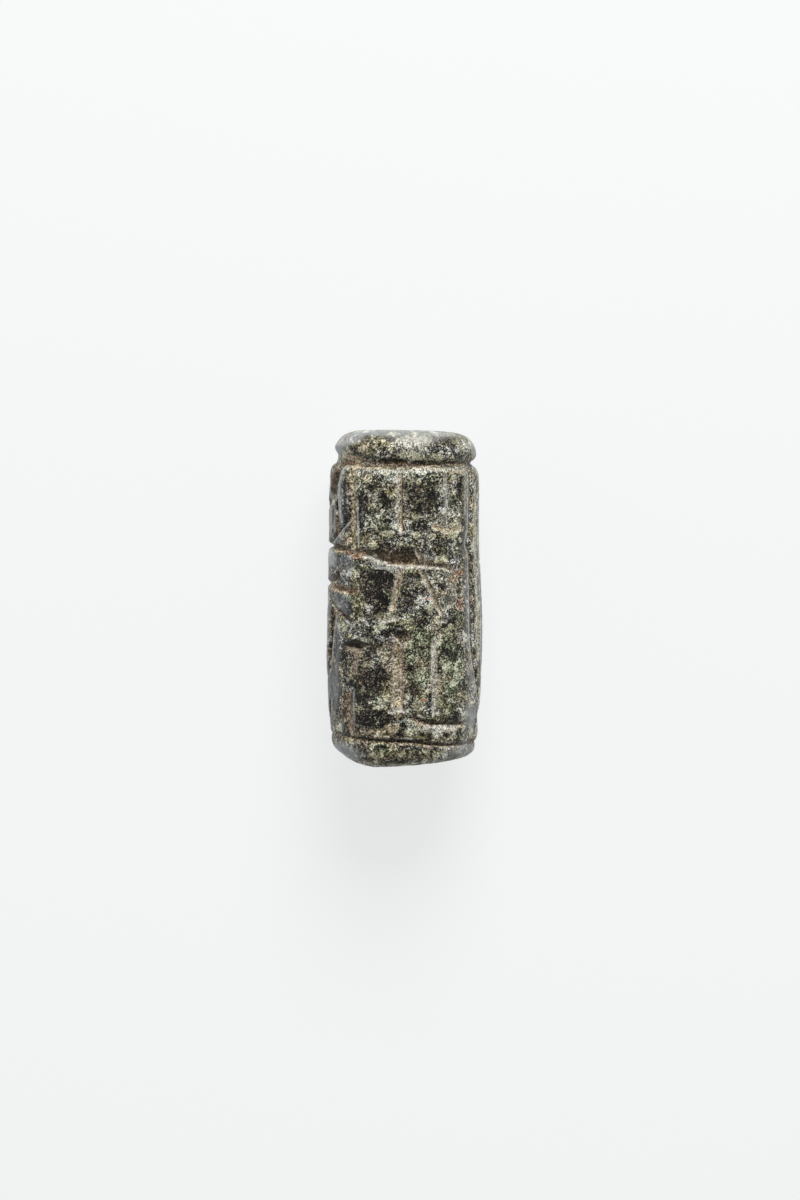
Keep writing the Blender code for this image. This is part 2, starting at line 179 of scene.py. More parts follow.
def widenGroove(piece):             # the top groove widens towards -X
    f = sealForm
    degrees, radius, height = roundCoordinates(readPlaces(piece))
    upperEdge = smoothStep(height, f["topGroove"] - 0.1, f["topGroove"] + 0.2)
    upperEdge = upperEdge * (1 - smoothStep(height, *f["liftFades"]))
    height = height + (radius > f["liftFrom"]) * upperEdge * np.interp(degrees, *zip(*f["grooveLift"]))
    angle = np.radians(degrees)
    writePlaces(piece, np.stack([radius * np.sin(angle) * mm, height * mm,
                                 radius * np.cos(angle) * mm + axisHeight], axis=1))


def wearEnds(piece):                # the ends are off square, and the lower corner towards -X is worn round
    f = sealForm
    places = readPlaces(piece)
    degrees, radius, height = roundCoordinates(places)
    off = np.abs((degrees - f["wearAngle"] + 180) % 360 - 180)
    wear = smoothStep(-off, -f["wearSpread"], 0) * smoothStep(radius, *f["wearRadius"])
    wear = wear * smoothStep(height, *f["wearHeight"])
    inward = 1 - f["wearInward"] * wear / radius
    across = places[:, 0] / mm * inward
    upward = (places[:, 2] - axisHeight) / mm * inward
    lift = f["wearUpward"] * wear + across * np.interp(height, *zip(*f["leans"]))
    lift = lift + f["topTilt"] * upward * smoothStep(height, *f["topTiltHeight"])
    across = across + np.interp(height, *zip(*f["offsets"]))
    writePlaces(piece, np.stack([across * mm, (height + lift) * mm, upward * mm + axisHeight], axis=1))


# The carving. A stroke is (left wall, right wall, depth, shape, dust and shade, route), its route running
# mostly downwards or towards +X, left and right as it runs. Walls and depth are millimetres; shape 1 cuts a V
# and 3 a square channel. The fifth entry names the colour on the left wall, the bottom and the right wall. Tan,
# clay, umber, brown and rust are dust in the cuts. Deep and dark are painted shade on walls that face away from
# the key and in hollows and pits. Cream and sand on walls that face the key are partly dust and partly painted
# light.
carving = {
    "groundLine": (0.80, 0.30, 0.42, 1.2, "brown brown sand",
                   [(-36, 4.2), (-26, 3.95), (-19, 3.7), (-11, 3.5), (-4, 3.42), (6, 3.42), (16, 3.35)]),
    "groundLineEnd": (0.40, 0.26, 0.22, 1.2, "brown brown sand",
                      [(8, 3.4), (18, 3.28), (28, 3.02), (38, 2.85)]),
    "notchLink": (0.35, 0.35, 0.20, 1.6, "rust rust rust", [(-53, 4.5), (-44, 4.3), (-33, 4.1)]),
    "leftNotch": (0.34, 0.34, 0.50, 1.3, "deep brown tan",
                  [(-112, 4.3), (-96, 4.6), (-79, 4.75), (-62, 4.65), (-50, 4.5)]),
    "leftChannel": (0.36, 0.36, 0.20, 2.2, "umber tan umber",
                    [(-43.5, 12.0), (-43, 9.5), (-42.8, 7.0), (-42.5, 4.9)]),
    "middleStroke": (0.20, 0.46, 0.36, 1.1, "deep sand cream",
                     [(-2.6, 11.8), (-2.6, 9.2), (-2.4, 7.2), (-2, 6.2)]),
    "broadStroke": (1.60, 0.45, 0.24, 1.6, "none none cream", [(37, 12.0), (37, 9.0), (37, 6.6)]),
    "broadFoot": (0.30, 0.30, 0.12, 2.0, "cream tan cream", [(23, 6.75), (34, 6.4), (50, 6.45)]),
    "wingHollow": (0.26, 0.90, 0.78, 1.2, "deep deep brown",
                   [(-58, 12.3), (-61, 11.3), (-66, 10.1), (-76, 8.9), (-92, 7.9)]),
    "wingBack": (0.55, 0.55, 0.34, 1.5, "none brown none", [(-74, 11.8), (-89, 10.6), (-102, 8.8)]),
    "featherOuter": (0.18, 0.18, 0.32, 1.2, "rust dark rust", [(-71, 8.4), (-71, 7.2), (-70.5, 6.0)]),
    "featherInner": (0.22, 0.22, 0.28, 1.2, "brown rust brown", [(-62, 9.0), (-62.5, 7.5), (-63, 5.7)]),
    "wingEdge": (0.16, 0.26, 0.28, 1.2, "none dark none", [(-45, 7.5), (-54, 6.6), (-66, 5.6), (-82, 4.95)]),
    "leftSlant": (0.26, 0.34, 0.30, 1.6, "sand sand cream",
                  [(-1.8, 3.0), (-3.8, 1.9), (-6.2, 0.6), (-10, -1.0)]),
    "leftSlantFoot": (0.24, 0.24, 0.10, 2.0, "cream cream cream", [(-18, -1.85), (-11, -1.6), (-4, -1.5)]),
    "rightSlantTop": (0.14, 0.20, 0.20, 1.2, "deep tan tan", [(9.5, 4.8), (11, 4.2), (13, 3.7)]),
    "rightSlant": (0.18, 0.34, 0.32, 1.4, "brown sand cream",
                   [(12.5, 3.0), (17, 2.0), (21.5, 1.0), (25, -0.2), (29, -1.1)]),
    "rightSlantFoot": (0.18, 0.18, 0.10, 2.0, "cream cream cream", [(24.5, -1.85), (29, -1.75), (33, -1.85)]),
    "notch": (0.32, 0.30, 0.42, 1.4, "brown deep brown", [(-58, 2.7), (-61, 2.1), (-70, 1.8), (-86, 1.5)]),
    "backLine": (0.30, 0.42, 0.34, 1.4, "tan rust tan",
                 [(-104, 1.5), (-90, 1.3), (-76, 1.2), (-57, 1.0), (-38, 0.8)]),
    "haunch": (0.22, 0.24, 0.38, 1.2, "deep brown tan", [(-78, 0.2), (-67, -0.5), (-55, -1.2), (-45, -1.9)]),
    "squareChannel": (0.46, 0.44, 0.50, 3.0, "deep umber brown",
                      [(-67.5, -1.2), (-69.5, -2.8), (-71.5, -4.6), (-73.5, -6.2)]),
    "wedgeTail": (0.38, 0.38, 0.26, 2.4, "clay clay clay", [(-37.5, -4.7), (-39.5, -5.6), (-41, -6.4)]),
    "shortChannel": (0.58, 0.62, 0.28, 2.2, "umber clay brown",
                     [(-47.5, -8.5), (-47, -10.2), (-45.5, -12.1)]),
    "leftUpright": (0.62, 0.66, 0.22, 1.5, "clay tan clay",
                    [(-4.5, -3.8), (-5, -5.5), (-5, -8.0), (-5, -9.9)]),
    "leftUprightCut": (0.12, 0.16, 0.30, 1.2, "brown sand sand",
                       [(-2.2, -4.3), (-2.0, -6.0), (-2.4, -8.0), (-2.0, -9.6)]),
    "leftUprightVein": (0.10, 0.10, 0.26, 1.2, "cream sand cream",
                        [(-7.6, -4.8), (-8.2, -6.5), (-8.0, -8.2), (-8.6, -9.4)]),
    "leftUprightHead": (0.16, 0.18, 0.16, 1.0, "brown tan cream", [(-8.5, -2.95), (-5, -3.3), (-1, -3.9)]),
    "leftUprightFoot": (0.28, 0.26, 0.14, 2.0, "cream cream cream",
                        [(-11, -9.95), (-5, -9.75), (1.5, -9.85)]),
    "rightUpright": (0.30, 0.26, 0.22, 1.5, "cream sand sand", [(22.5, -3.6), (22.5, -5.2), (23, -7.4)]),
    "rightUprightTail": (0.16, 0.16, 0.22, 1.2, "sand cream cream",
                         [(23, -7.0), (22.6, -9.0), (22.6, -10.5)]),
    "lowerLine": (0.20, 0.50, 0.30, 1.2, "deep brown sand",
                  [(9, -10.6), (16, -10.8), (28, -11.0), (39, -11.1), (53, -11.05)]),
    "lowerScratch": (0.12, 0.12, 0.10, 1.2, "none brown cream", [(-20, -12.0), (-8, -12.15), (6, -12.25)]),
    "sidePit": (0.32, 0.32, 0.50, 2.0, "deep deep deep", [(-77, -9.5), (-76.5, -9.9), (-77.5, -10.5)]),
    "rightPit": (0.20, 0.20, 0.34, 2.0, "brown dark none", [(76, -11.2), (79, -12.1)]),
    "robeFront": (0.55, 0.18, 0.27, 1.2, "none brown none",
                  [(60.5, 11.9), (60.5, 9.1), (59.5, 6.4), (56.5, 5.2), (59.5, 4.1), (59.5, 2.7), (60.5, 0.6),
                   (60, -0.8), (59.5, -2.8), (62, -4.9), (67, -6.8), (73, -8.7), (84, -9.9)]),
    "robeBack": (0.30, 0.30, 0.40, 1.3, "none brown none",
                 [(101, 11.9), (105, 8.0), (107, 4.9), (107, 1.8), (108, -1.8), (111, -4.3), (116, -6.8),
                  (124, -9.6)]),
    "robeBelt": (0.23, 0.23, 0.14, 1.3, "none brown tan", [(74, 3.4), (87, 3.15), (101, 3.4)]),
    "robeHem": (0.25, 0.25, 0.34, 1.3, "none brown tan", [(86, -9.3), (100, -9.4), (116, -9.2)]),
    "robeFold0": (0.20, 0.20, 0.28, 1.2, "none brown none", [(82, 2.2), (83, -3.0), (86, -8.0)]),
    "robeFold1": (0.20, 0.20, 0.28, 1.2, "none brown none", [(93, 2.2), (94, -3.0), (100, -8.0)]),
    "beastNeck": (0.45, 0.45, 0.50, 2.0, "none brown none", [(-96, 3.0), (-101, 1.4), (-108, 0.2)]),
    "beastBody": (0.65, 0.65, 0.55, 2.0, "none tan none", [(-92, -0.9), (-104, -1.2), (-117, -0.8)]),
    "beastNearLeg": (0.30, 0.30, 0.40, 1.4, "none tan none", [(-94, -1.6), (-95, -4.0), (-92, -6.2)]),
    "beastFarLeg": (0.30, 0.30, 0.40, 1.4, "none tan none", [(-113, -1.4), (-113, -4.0), (-111, -6.2)]),
    "beastTail": (0.20, 0.20, 0.30, 1.2, "none brown none", [(-116, -0.4), (-120, -1.6), (-119.5, -3.4)]),
    "standingLine": (0.30, 0.30, 0.36, 1.4, "brown brown tan", [(-120, -7.4), (-100, -7.6), (-84, -7.3)]),
    "crescent": (0.35, 0.35, 0.42, 1.6, "none brown none",
                 [(-113, 8.6), (-107, 7.4), (-98, 7.2), (-92, 8.4)]),
}
wedgeHead = {
    "corners": [(-52.5, -4.05), (-38.5, -3.4), (-26, -3.85), (-37.5, -4.85)], "deepest": (-36.5, -4.38),
    "depth": 0.62,
}
plant = {"angle": 146, "foot": -11.2, "top": 9.6, "leaves": 5, "reach": 17, "narrowing": 1.6}
panel = {"edges": (-168, -126), "top": 11.9, "foot": -11.8, "rows": 4, "strokes": 3}
fringe = {"start": 87, "step": 8, "count": 4, "hem": -9.2}


def addBackStrokes():       # the plainer carving of the sides that the photo doesn't show
    p = plant
    stem = [(p["angle"], p["top"] - 1.6), (p["angle"], p["foot"])]
    carving["stem"] = (0.25, 0.25, 0.36, 1.3, "none brown none", stem)
    bud = [(p["angle"], p["top"] + 1.2), (p["angle"], p["top"] - 0.9)]
    carving["bud"] = (0.45, 0.45, 0.42, 2.0, "none brown none", bud)
    gap = (p["top"] - p["foot"] - 4.0) / p["leaves"]
    for i in range(p["leaves"]):
        low = p["foot"] + 1.8 + gap * i
        reach = p["reach"] - p["narrowing"] * i
        for side in (-1, 1):
            route = [(p["angle"] + 3.5 * side, low), (p["angle"] + 0.6 * reach * side, low + 0.9),
                     (p["angle"] + reach * side, low + 2.2)]
            carving[f"leaf{i}{side}"] = (0.25, 0.25, 0.32, 1.4, "none tan none", route)
    left, right = panel["edges"]
    gap = 2 * panel["top"] / panel["rows"]
    for edge in panel["edges"]:
        route = [(edge, panel["top"]), (edge, panel["foot"])]
        carving[f"ruling{edge}"] = (0.20, 0.20, 0.30, 1.2, "none brown none", route)
    for row in range(panel["rows"]):
        middle = panel["top"] - gap * (row + 0.5)
        for i in range(panel["strokes"]):
            at = left + (right - left) * (i + 1) / (panel["strokes"] + 1)
            tip = at + (3.0 if (row + i) % 2 else -2.0)
            route = [(at, middle + 1.6), (tip, middle - 1.7)]
            carving[f"short{row}{i}"] = (0.28, 0.28, 0.30, 1.3, "none tan pale", route)
    for i in range(fringe["count"]):
        at = fringe["start"] + fringe["step"] * i
        route = [(at, fringe["hem"] - 0.9), (at, fringe["hem"] - 2.2)]
        carving[f"fringe{i}"] = (0.18, 0.18, 0.26, 1.2, "none brown none", route)


# Lines scratched all the way round: (upper wall, lower wall, depth, dust and shade, heights, what is left at
# some angles).
# The lower wall, which faces the key, takes the paler tan: partly dust, partly painted light.
rings = {
    "bottomGroove": (0.20, 0.34, 0.34, "brown brown tan",
                     [(-180, -12.6), (-81, -12.5), (-68, -12.35), (-53, -12.5), (-30, -12.62), (0, -12.62),
                      (12, -12.7), (22, -12.88), (41, -13.0), (88, -13.05), (180, -12.6)],
                     [(-180, 0.5), (-95, 0.3), (-78, 0.3), (-60, 1.0), (35, 1.0), (65, 0.5), (85, 0.3),
                      (180, 0.5)]),
    "grooveFloor": (0.14, 0.20, 0.10, "brown brown tan",
                    [(-180, 12.3), (-110, 12.1), (-71, 12.0), (-54, 12.1), (-42, 12.12), (-33, 12.05),
                     (0, 12.15), (40, 12.4), (88, 12.45), (180, 12.3)],
                    [(-180, 0.6), (-60, 1.0), (88, 1.0), (180, 0.6)]),
}

# Worn edges that catch the light, as (width, rise, shine, route): rise lifts the mesh, and shine smooths the
# edge and paints a pale highlight along it
wornEdges = {
    "wingLip": (0.34, 0.09, 0.95,
                [(-54, 11.8), (-57, 10.7), (-59, 9.7), (-58.5, 8.8), (-57, 7.8), (-54.5, 7.0)]),
    "wingLipEdge": (0.12, 0.03, 1.0,
                    [(-57, 10.9), (-60, 9.9), (-62, 9.3), (-68, 8.8), (-76, 8.4), (-88, 7.7)]),
    "featherRidge": (0.14, 0.05, 1.0, [(-66.5, 8.5), (-66.5, 7.2), (-67, 5.9)]),
    "wingFoot": (0.16, 0.05, 0.9, [(-46, 7.0), (-54, 6.2), (-62, 5.5), (-70, 4.95)]),
    "channelEdge": (0.12, 0.02, 0.7, [(-37.5, 9.0), (-37.5, 7.6), (-37, 6.2), (-37, 5.0)]),
    "scratch": (0.10, 0.02, 0.8, [(-31, 8.1), (-33, 7.8), (-36, 7.5)]),
    "broadEdge": (0.12, 0.03, 0.55, [(32.6, 11.8), (32.6, 9.2), (32.6, 6.8)]),
    "robeEdge": (0.13, 0.06, 1.2,
                 [(57.5, 11.6), (57.5, 9.1), (56.5, 6.4), (52.5, 5.1), (56, 4.1), (56, 2.7), (56.5, 0.6),
                  (56, -0.8), (56, -2.8), (58.5, -4.9), (64, -6.7), (70, -8.7), (81, -9.8)]),
    "robeRoll": (0.40, 0.07, 0.25,
                 [(54, 11.6), (54, 9.1), (53, 6.4), (50, 5.0), (52.5, 3.6), (52.5, 0.6), (52.5, -2.8),
                  (55, -4.9), (60, -6.8), (65, -8.9), (70, -10.6)]),
    "groundEdge": (0.14, 0.02, 0.55,
                   [(-32, 4.0), (-26, 3.8), (-19, 3.5), (-11, 3.25), (-4, 3.1), (6, 3.1), (18, 3.15)]),
    "groundEdge2": (0.12, 0.02, 0.8, [(-24, 3.35), (-17, 3.05), (-7, 2.85)]),
    "noseRidge": (0.16, 0.06, 0.9, [(-62, 3.0), (-57, 2.45), (-53, 1.95), (-49, 1.6)]),
    "haunchEdge": (0.16, 0.05, 1.2, [(-51, -1.8), (-46, -2.05), (-41.5, -2.35)]),
    "flankRidge": (0.14, 0.06, 1.2, [(-60, -1.3), (-62.5, -2.6), (-65, -3.9), (-67, -5.5), (-68, -6.3)]),
    "flankRoll": (0.55, 0.08, 0.20, [(-55, -1.8), (-56, -3.5), (-57, -6.0), (-58, -8.8)]),
    "backRoll": (0.50, 0.07, 0.20, [(-72, 0.6), (-62, 0.0), (-54, -0.6), (-46, -1.3)]),
    "shortEdge": (0.14, 0.03, 0.9, [(-40, -8.0), (-41, -9.3), (-40.5, -10.8)]),
    "pitEdge": (0.14, 0.04, 1.2, [(-73, -9.2), (-71.0, -10.0), (-73, -10.9)]),
    "vein0": (0.09, 0.01, 0.5, [(-1, 2.2), (3, 1.85), (6, 2.05), (9, 1.8)]),
    "vein1": (0.09, 0.01, 0.5, [(1, 1.3), (5, 0.8), (8, 0.55), (12, 0.65)]),
    "vein2": (0.09, 0.01, 0.4, [(-2, 0.3), (2, 0.1), (6, 0.35)]),
    "stubEdge": (0.10, 0.02, 0.9, [(8.5, 4.9), (9.5, 4.3), (11.5, 3.75)]),
}

# Swells and dents of the worn surface: (degrees, height, reach round, reach along, rise), lengths in mm
wornForm = [
    (-78, 3.6, 1.3, 0.7, 0.12), (-58, 3.6, 0.9, 0.5, 0.08), (-80, -5.5, 1.6, 1.6, 0.10),
    (90, -2.5, 2.2, 5.0, 0.14), (92, -10.6, 1.5, 0.7, -0.24), (-56, -5.0, 0.5, 3.5, 0.06),
    (-90, 11.0, 2.0, 1.0, -0.06), (15, 8.0, 2.5, 3.0, -0.04), (-20, -6.0, 2.5, 4.0, -0.05),
    (-4, -0.3, 1.0, 1.2, -0.05), (-23, 6.6, 1.6, 0.5, 0.05), (43, 1.2, 1.3, 1.4, -0.07),
]

# Broad marks in the stone, by kind: (degrees, height, reach round, reach along, strength)
marks = {
    "dark": [
        # Mostly the stone's dark patches. The rows at 12.55 and 12.8 mm under the top crest, at 4.6 mm over the
        # ground line and at 59 degrees, 0.4 mm beside the robe's edge are painted shade on walls that face away
        # from the key.
        (14, 8.6, 1.9, 2.9, 0.65), (-30, 8.7, 0.35, 0.9, 0.9), (-14, 8.8, 0.35, 0.35, 0.9),
        (-13, 7.2, 0.45, 0.25, 1.0), (-4, 6.0, 0.35, 0.35, 0.9), (-15, 4.9, 1.3, 0.35, 0.8),
        (-20, 0.6, 1.3, 2.4, 0.85), (-31, 2.4, 0.7, 0.8, 0.8), (4, 0.9, 1.0, 1.6, 0.65),
        (-10, -2.8, 1.2, 0.5, 0.9), (1, -2.9, 0.8, 0.4, 0.8), (-19, -6.6, 0.9, 1.1, 1.0),
        (-34, -8.9, 0.6, 0.8, 0.9), (34, 0.1, 0.5, 0.5, 1.0), (22, -11.6, 0.5, 0.2, 1.0),
        (32, 5.0, 1.4, 0.7, 0.5), (40, 8.6, 0.4, 2.2, 0.35), (50, 9.0, 0.4, 2.4, 0.7),
        (46, 13.4, 1.2, 0.4, 0.4), (48, -10.5, 0.8, 1.6, 0.4), (2, 12.55, 5.0, 0.2, 0.6),
        (-24, -10.6, 2.6, 1.0, 0.8), (-30, -8.0, 1.8, 2.0, 0.6), (-62, -8.0, 1.2, 2.6, 0.8),
        (-8, 4.6, 3.6, 0.45, 0.7), (26, 4.3, 1.8, 0.4, 0.4), (-26, -4.6, 0.8, 1.0, 0.6),
        (59, 0.4, 0.22, 1.2, 0.8), (51, 3.0, 0.3, 8.0, 0.5), (-46.5, 8.5, 0.4, 3.0, 0.5),
        (-30, -2.6, 0.8, 0.9, 0.6), (40, -4.8, 0.5, 1.4, 0.5), (-34, 8.6, 0.45, 3.0, 0.75),
        (-51.5, 8.4, 0.30, 3.4, 0.8), (-18, 2.2, 1.6, 0.55, 1.0), (5, 2.3, 1.2, 0.4, 0.7),
        (-58, -6.0, 0.7, 4.4, 0.6), (-58, 0.0, 0.9, 0.6, 0.4), (-50, -5.6, 0.5, 2.4, 0.7),
        (-22, 10.6, 1.3, 0.6, 0.5), (-64, 0.2, 0.6, 0.5, 0.5), (-22, 1.4, 1.9, 2.0, 0.9),
        (-27, -7.4, 1.9, 2.3, 0.8), (-48, -0.8, 0.9, 0.9, 0.6), (9, -7.6, 0.8, 2.6, 0.5),
        (-30, 12.8, 1.6, 0.25, 0.5),
    ],
    "pale": [
        (11, 10.7, 0.32, 0.40, 1.0), (2, 9.4, 0.22, 0.35, 0.8), (8, 7.6, 0.40, 0.45, 1.0),
        (25, 6.7, 0.50, 0.45, 1.1), (10, 6.0, 0.42, 0.32, 1.1), (22, 5.8, 0.42, 0.30, 0.9),
        (42, 6.7, 0.85, 0.34, 1.2), (41, 6.0, 0.75, 0.34, 1.2), (-13, 6.1, 0.85, 0.32, 0.9),
        (-3, 5.2, 0.35, 0.25, 0.9), (-15, -5.2, 0.35, 0.42, 1.1), (-28, -5.7, 0.60, 0.45, 0.7),
        (-15, -8.9, 0.55, 0.80, 0.7), (3, -1.7, 0.65, 0.30, 1.0), (-15, -1.8, 0.35, 0.32, 1.0),
        (-7, -1.5, 0.45, 0.34, 1.0), (20, -0.6, 0.32, 0.65, 1.0), (38, 1.5, 0.15, 0.12, 1.2),
        (39, 9.2, 0.9, 2.4, 0.40), (24, -7.1, 1.0, 0.4, 0.8), (4, 13.1, 1.5, 0.35, 0.8),
        (24, 12.9, 1.4, 0.35, 0.6), (12, 1.6, 0.8, 0.5, 0.6), (16, 2.2, 0.6, 0.9, 0.5),
        (-30, 11.0, 1.2, 0.5, 0.4), (70, 7.0, 0.5, 1.0, 0.8), (68, 3.0, 0.4, 0.9, 0.8),
        (72, -1.5, 0.5, 1.2, 0.8), (52, 9.8, 0.4, 1.4, 0.6), (48, 7.8, 0.5, 0.6, 0.6),
        (10, -9.4, 0.6, 0.6, 0.8), (26, -9.0, 0.5, 0.7, 0.8), (30, -5.6, 0.5, 0.6, 0.6),
        (10, -6.6, 0.5, 0.6, 0.7), (-24, 4.9, 0.6, 0.3, 0.8), (70, 6.0, 0.6, 5.0, 0.8),
        (71, -2.0, 0.6, 4.0, 0.8), (8, 12.9, 2.2, 0.3, 0.7),
    ],
    "cream": [
        (38, 0.6, 1.0, 1.8, 0.55), (71, 8.0, 0.4, 3.0, 0.5), (71, 0.5, 0.4, 3.5, 0.5),
        (-4.5, -7.0, 0.6, 3.0, 0.5), (22.5, -6.0, 0.40, 2.8, 1.0), (0, 1.8, 1.4, 0.5, 0.4),
        # Rows at 11.35 to 11.8 mm, 2.95 to 3.95 mm and -11.35 to -11.5 mm lie on the lower walls of the top
        # groove, the ground line and the lower line, which face the key: painted light. The rows near the
        # middle at 13.4 and 14.0 mm paint the cap's highlight.
        (-8, 11.66, 4.6, 0.18, 0.75), (34, 11.8, 2.6, 0.16, 0.7), (-58, 11.7, 1.6, 0.10, 0.7),
        (-21, 3.55, 1.3, 0.11, 0.9), (2, 3.02, 2.6, 0.12, 1.2), (-18, 3.0, 1.1, 0.10, 1.1),
        (22, 2.95, 1.5, 0.16, 1.0), (28, -11.5, 2.4, 0.32, 1.2), (-30, 3.95, 0.6, 0.13, 1.1),
        (36, 9.0, 0.5, 2.4, 0.5), (30, -0.2, 0.5, 1.0, 0.6), (-76, 4.0, 1.0, 0.5, 0.5),
        (6, 14.0, 2.2, 0.55, 0.8), (60, 14.0, 1.6, 0.5, 0.6), (-62, 13.6, 1.4, 0.8, 0.5),
        (8, 12.9, 1.8, 0.35, 0.4), (2, 13.4, 2.4, 0.6, 0.5), (23, -8.6, 0.30, 1.8, 0.8),
        (33, -11.35, 2.0, 0.16, 1.2),
    ],
    "green": [
        (13, -5.0, 2.4, 3.6, 0.85), (37, -6.0, 1.9, 4.2, 0.85), (17, 9.6, 0.35, 0.35, 1.0),
        (-22, -8.0, 0.9, 1.0, 0.9), (33, -3.6, 0.7, 0.4, 1.0), (43, 1.0, 1.0, 1.0, 0.9),
        (8, 7.0, 1.4, 1.8, 0.5), (70, 9.0, 0.8, 3.0, 0.4),
    ],
    "olive": [
        (-22, 8.0, 2.0, 3.0, 0.55), (-36, 0.5, 1.2, 3.0, 0.8), (-22, 14.0, 2.6, 1.0, 0.7),
        (12, 14.2, 4.0, 0.6, 0.5), (-38, 13.4, 2.4, 0.7, 0.8), (-28, -10.4, 2.2, 1.5, 0.8),
        (0, -14.0, 5.0, 1.0, 0.7), (-12, 4.6, 2.6, 0.5, 0.6),
    ],
    "deep": [
        # Near-black spots in the wing hollow, by the notch and the square channel, and beside the robe's edge:
        # painted shade.
        (-64, -1.2, 0.35, 0.35, 0.8), (-64, 9.9, 0.5, 0.6, 0.9), (59.5, 0.4, 0.16, 1.1, 1.0),
        (-66, 2.1, 0.5, 0.3, 0.6),
    ],
    # All on the limbs: their blue-grey is partly worn stone, partly painted reflection of the pale floor seen
    # at a grazing angle.
    "slateAndSheen": [
        (-50, -0.6, 0.9, 1.0, 0.9), (-51, 3.3, 1.2, 0.75, 1.2), (-60, 5.3, 0.7, 0.5, 1.0),
        (-74, 3.5, 1.9, 0.85, 1.2), (-55, 3.2, 0.8, 0.55, 0.9), (-60, 2.0, 0.45, 0.8, 0.8),
        (-52, 1.9, 0.5, 0.5, 0.6), (-57, 0.0, 1.0, 0.75, 1.1), (-74, -0.3, 0.8, 0.8, 0.7),
        (-59, -4.4, 0.50, 3.6, 0.9), (-66, -8.8, 0.9, 2.4, 0.9), (-58, 8.6, 0.30, 3.4, 1.0),
        (-88, 10.0, 0.5, 1.8, 0.8), (-76, 7.2, 0.35, 1.4, 0.9), (-66.5, 7.2, 0.26, 1.3, 0.8),
        (-80, -9.0, 1.3, 4.0, 1.1), (54.5, 8.6, 0.20, 4.0, 0.7), (54, 0.2, 0.20, 5.0, 0.7),
        (58, -7.5, 0.5, 3.0, 0.7), (84, 0.0, 0.7, 12.0, 0.7), (66, -11.0, 1.0, 1.2, 0.6),
        (-78, 13.7, 1.8, 1.2, 0.9), (80, 13.6, 1.1, 1.0, 0.7), (-58, -13.8, 2.2, 0.9, 0.8),
        (66, -13.7, 2.0, 0.9, 0.7), (-54, 5.4, 0.5, 0.6, 0.6),
    ],
    # Polish lowers the roughness and lays on a pale colour, a painted sheen: on the cap's top, where the key's
    # highlight falls, and on the limbs and ends, where the floor's reflection falls.
    "polishAndSheen": [
        (0, 14.7, 9.0, 0.42, 0.55), (-52, 14.3, 2.2, 0.6, 0.55), (-76, 3.6, 1.4, 0.8, 0.7),
        (-62, -7.5, 1.0, 2.2, 0.3), (-75, 13.8, 2.0, 1.2, 0.55), (62, -10.6, 1.3, 1.6, 0.45),
        (83, 0.0, 0.8, 11.0, 0.5), (78, 13.6, 1.2, 1.0, 0.4), (-60, -13.9, 3.0, 0.9, 0.45),
        (60, -13.8, 3.0, 0.8, 0.4), (-84, 0.0, 0.8, 12.0, 0.35), (8, 14.3, 3.4, 0.5, 0.3),
        (-72, 3.4, 1.2, 0.6, 0.5), (-84, 9.8, 0.6, 2.0, 0.7), (-78, 6.8, 0.8, 1.6, 0.5),
    ],
    "smooth": [
        (0, 14.5, 9.0, 0.6, 0.9), (0, -14.0, 8.0, 0.9, 0.5), (-50, 14.0, 2.6, 0.7, 0.8),
        (-72, 10.6, 1.2, 1.6, 0.9), (-10, 4.25, 3.0, 0.45, 0.8), (-8, -12.05, 3.4, 0.35, 0.8),
        (-40, 12.9, 2.2, 0.4, 0.5), (-50, 12.55, 2.6, 0.45, 0.8), (26, 4.1, 2.4, 0.5, 0.5),
        (-61, 5.0, 1.2, 0.4, 0.7), (-58, 1.5, 1.0, 0.6, 0.5), (54, 2.0, 0.35, 9.0, 0.6),
        (-37, 0.7, 0.5, 0.5, 0.4),
    ],
    "sand": [
        # On the top groove's lower wall, which faces the key: partly dust, partly painted light.
        (-58, 12.68, 2.0, 0.26, 1.2), (-34, 11.86, 3.0, 0.10, 1.0), (20, 11.95, 3.0, 0.07, 0.8),
    ],
    "brown": [
        (-70, 10.7, 0.9, 1.3, 1.0), (-12, 12.35, 3.6, 0.20, 0.9), (40, 12.4, 2.6, 0.12, 0.8),
        (-12, 4.4, 2.4, 0.4, 0.6), (-30, -12.62, 3.0, 0.14, 1.1), (6, -12.66, 2.4, 0.14, 1.1),
        (40, -12.9, 3.0, 0.14, 0.8), (-10, -12.3, 3.0, 0.25, 0.5), (-1, -3.1, 0.7, 0.3, 0.6),
    ],
    "umber": [
        (40, 0.8, 1.5, 1.6, 0.7), (-48, -10.0, 1.2, 2.0, 0.8), (-40, -5.0, 1.2, 1.2, 0.7),
        (-5, -6.8, 1.0, 3.2, 0.8), (14, -4.3, 1.0, 0.9, 0.5), (-25, -12.0, 3.0, 0.6, 0.7),
        (60, -6.0, 0.6, 3.0, 0.6), (-62, -5.0, 0.8, 3.0, 0.6),
    ],
    "rust": [
        (-48, 5.5, 0.35, 0.40, 1.0), (-40, 4.0, 0.65, 0.35, 1.0), (46, 2.5, 0.80, 0.36, 1.2),
        (41, 1.9, 0.60, 0.26, 1.0), (47, -0.4, 0.40, 0.70, 1.2), (18, 0.25, 0.42, 0.12, 1.2),
        (14, -8.9, 0.42, 0.20, 1.0), (35, -3.3, 0.16, 0.12, 1.0), (-1, -5.9, 0.22, 0.22, 0.9),
        (-34, -7.4, 0.25, 0.20, 1.0), (43, -11.5, 0.35, 0.26, 1.0), (-46, -8.7, 0.45, 0.30, 0.8),
        (62, -6.2, 0.30, 0.40, 0.8), (66, 0.0, 0.30, 0.60, 0.7), (-62, 1.1, 1.0, 0.22, 0.7),
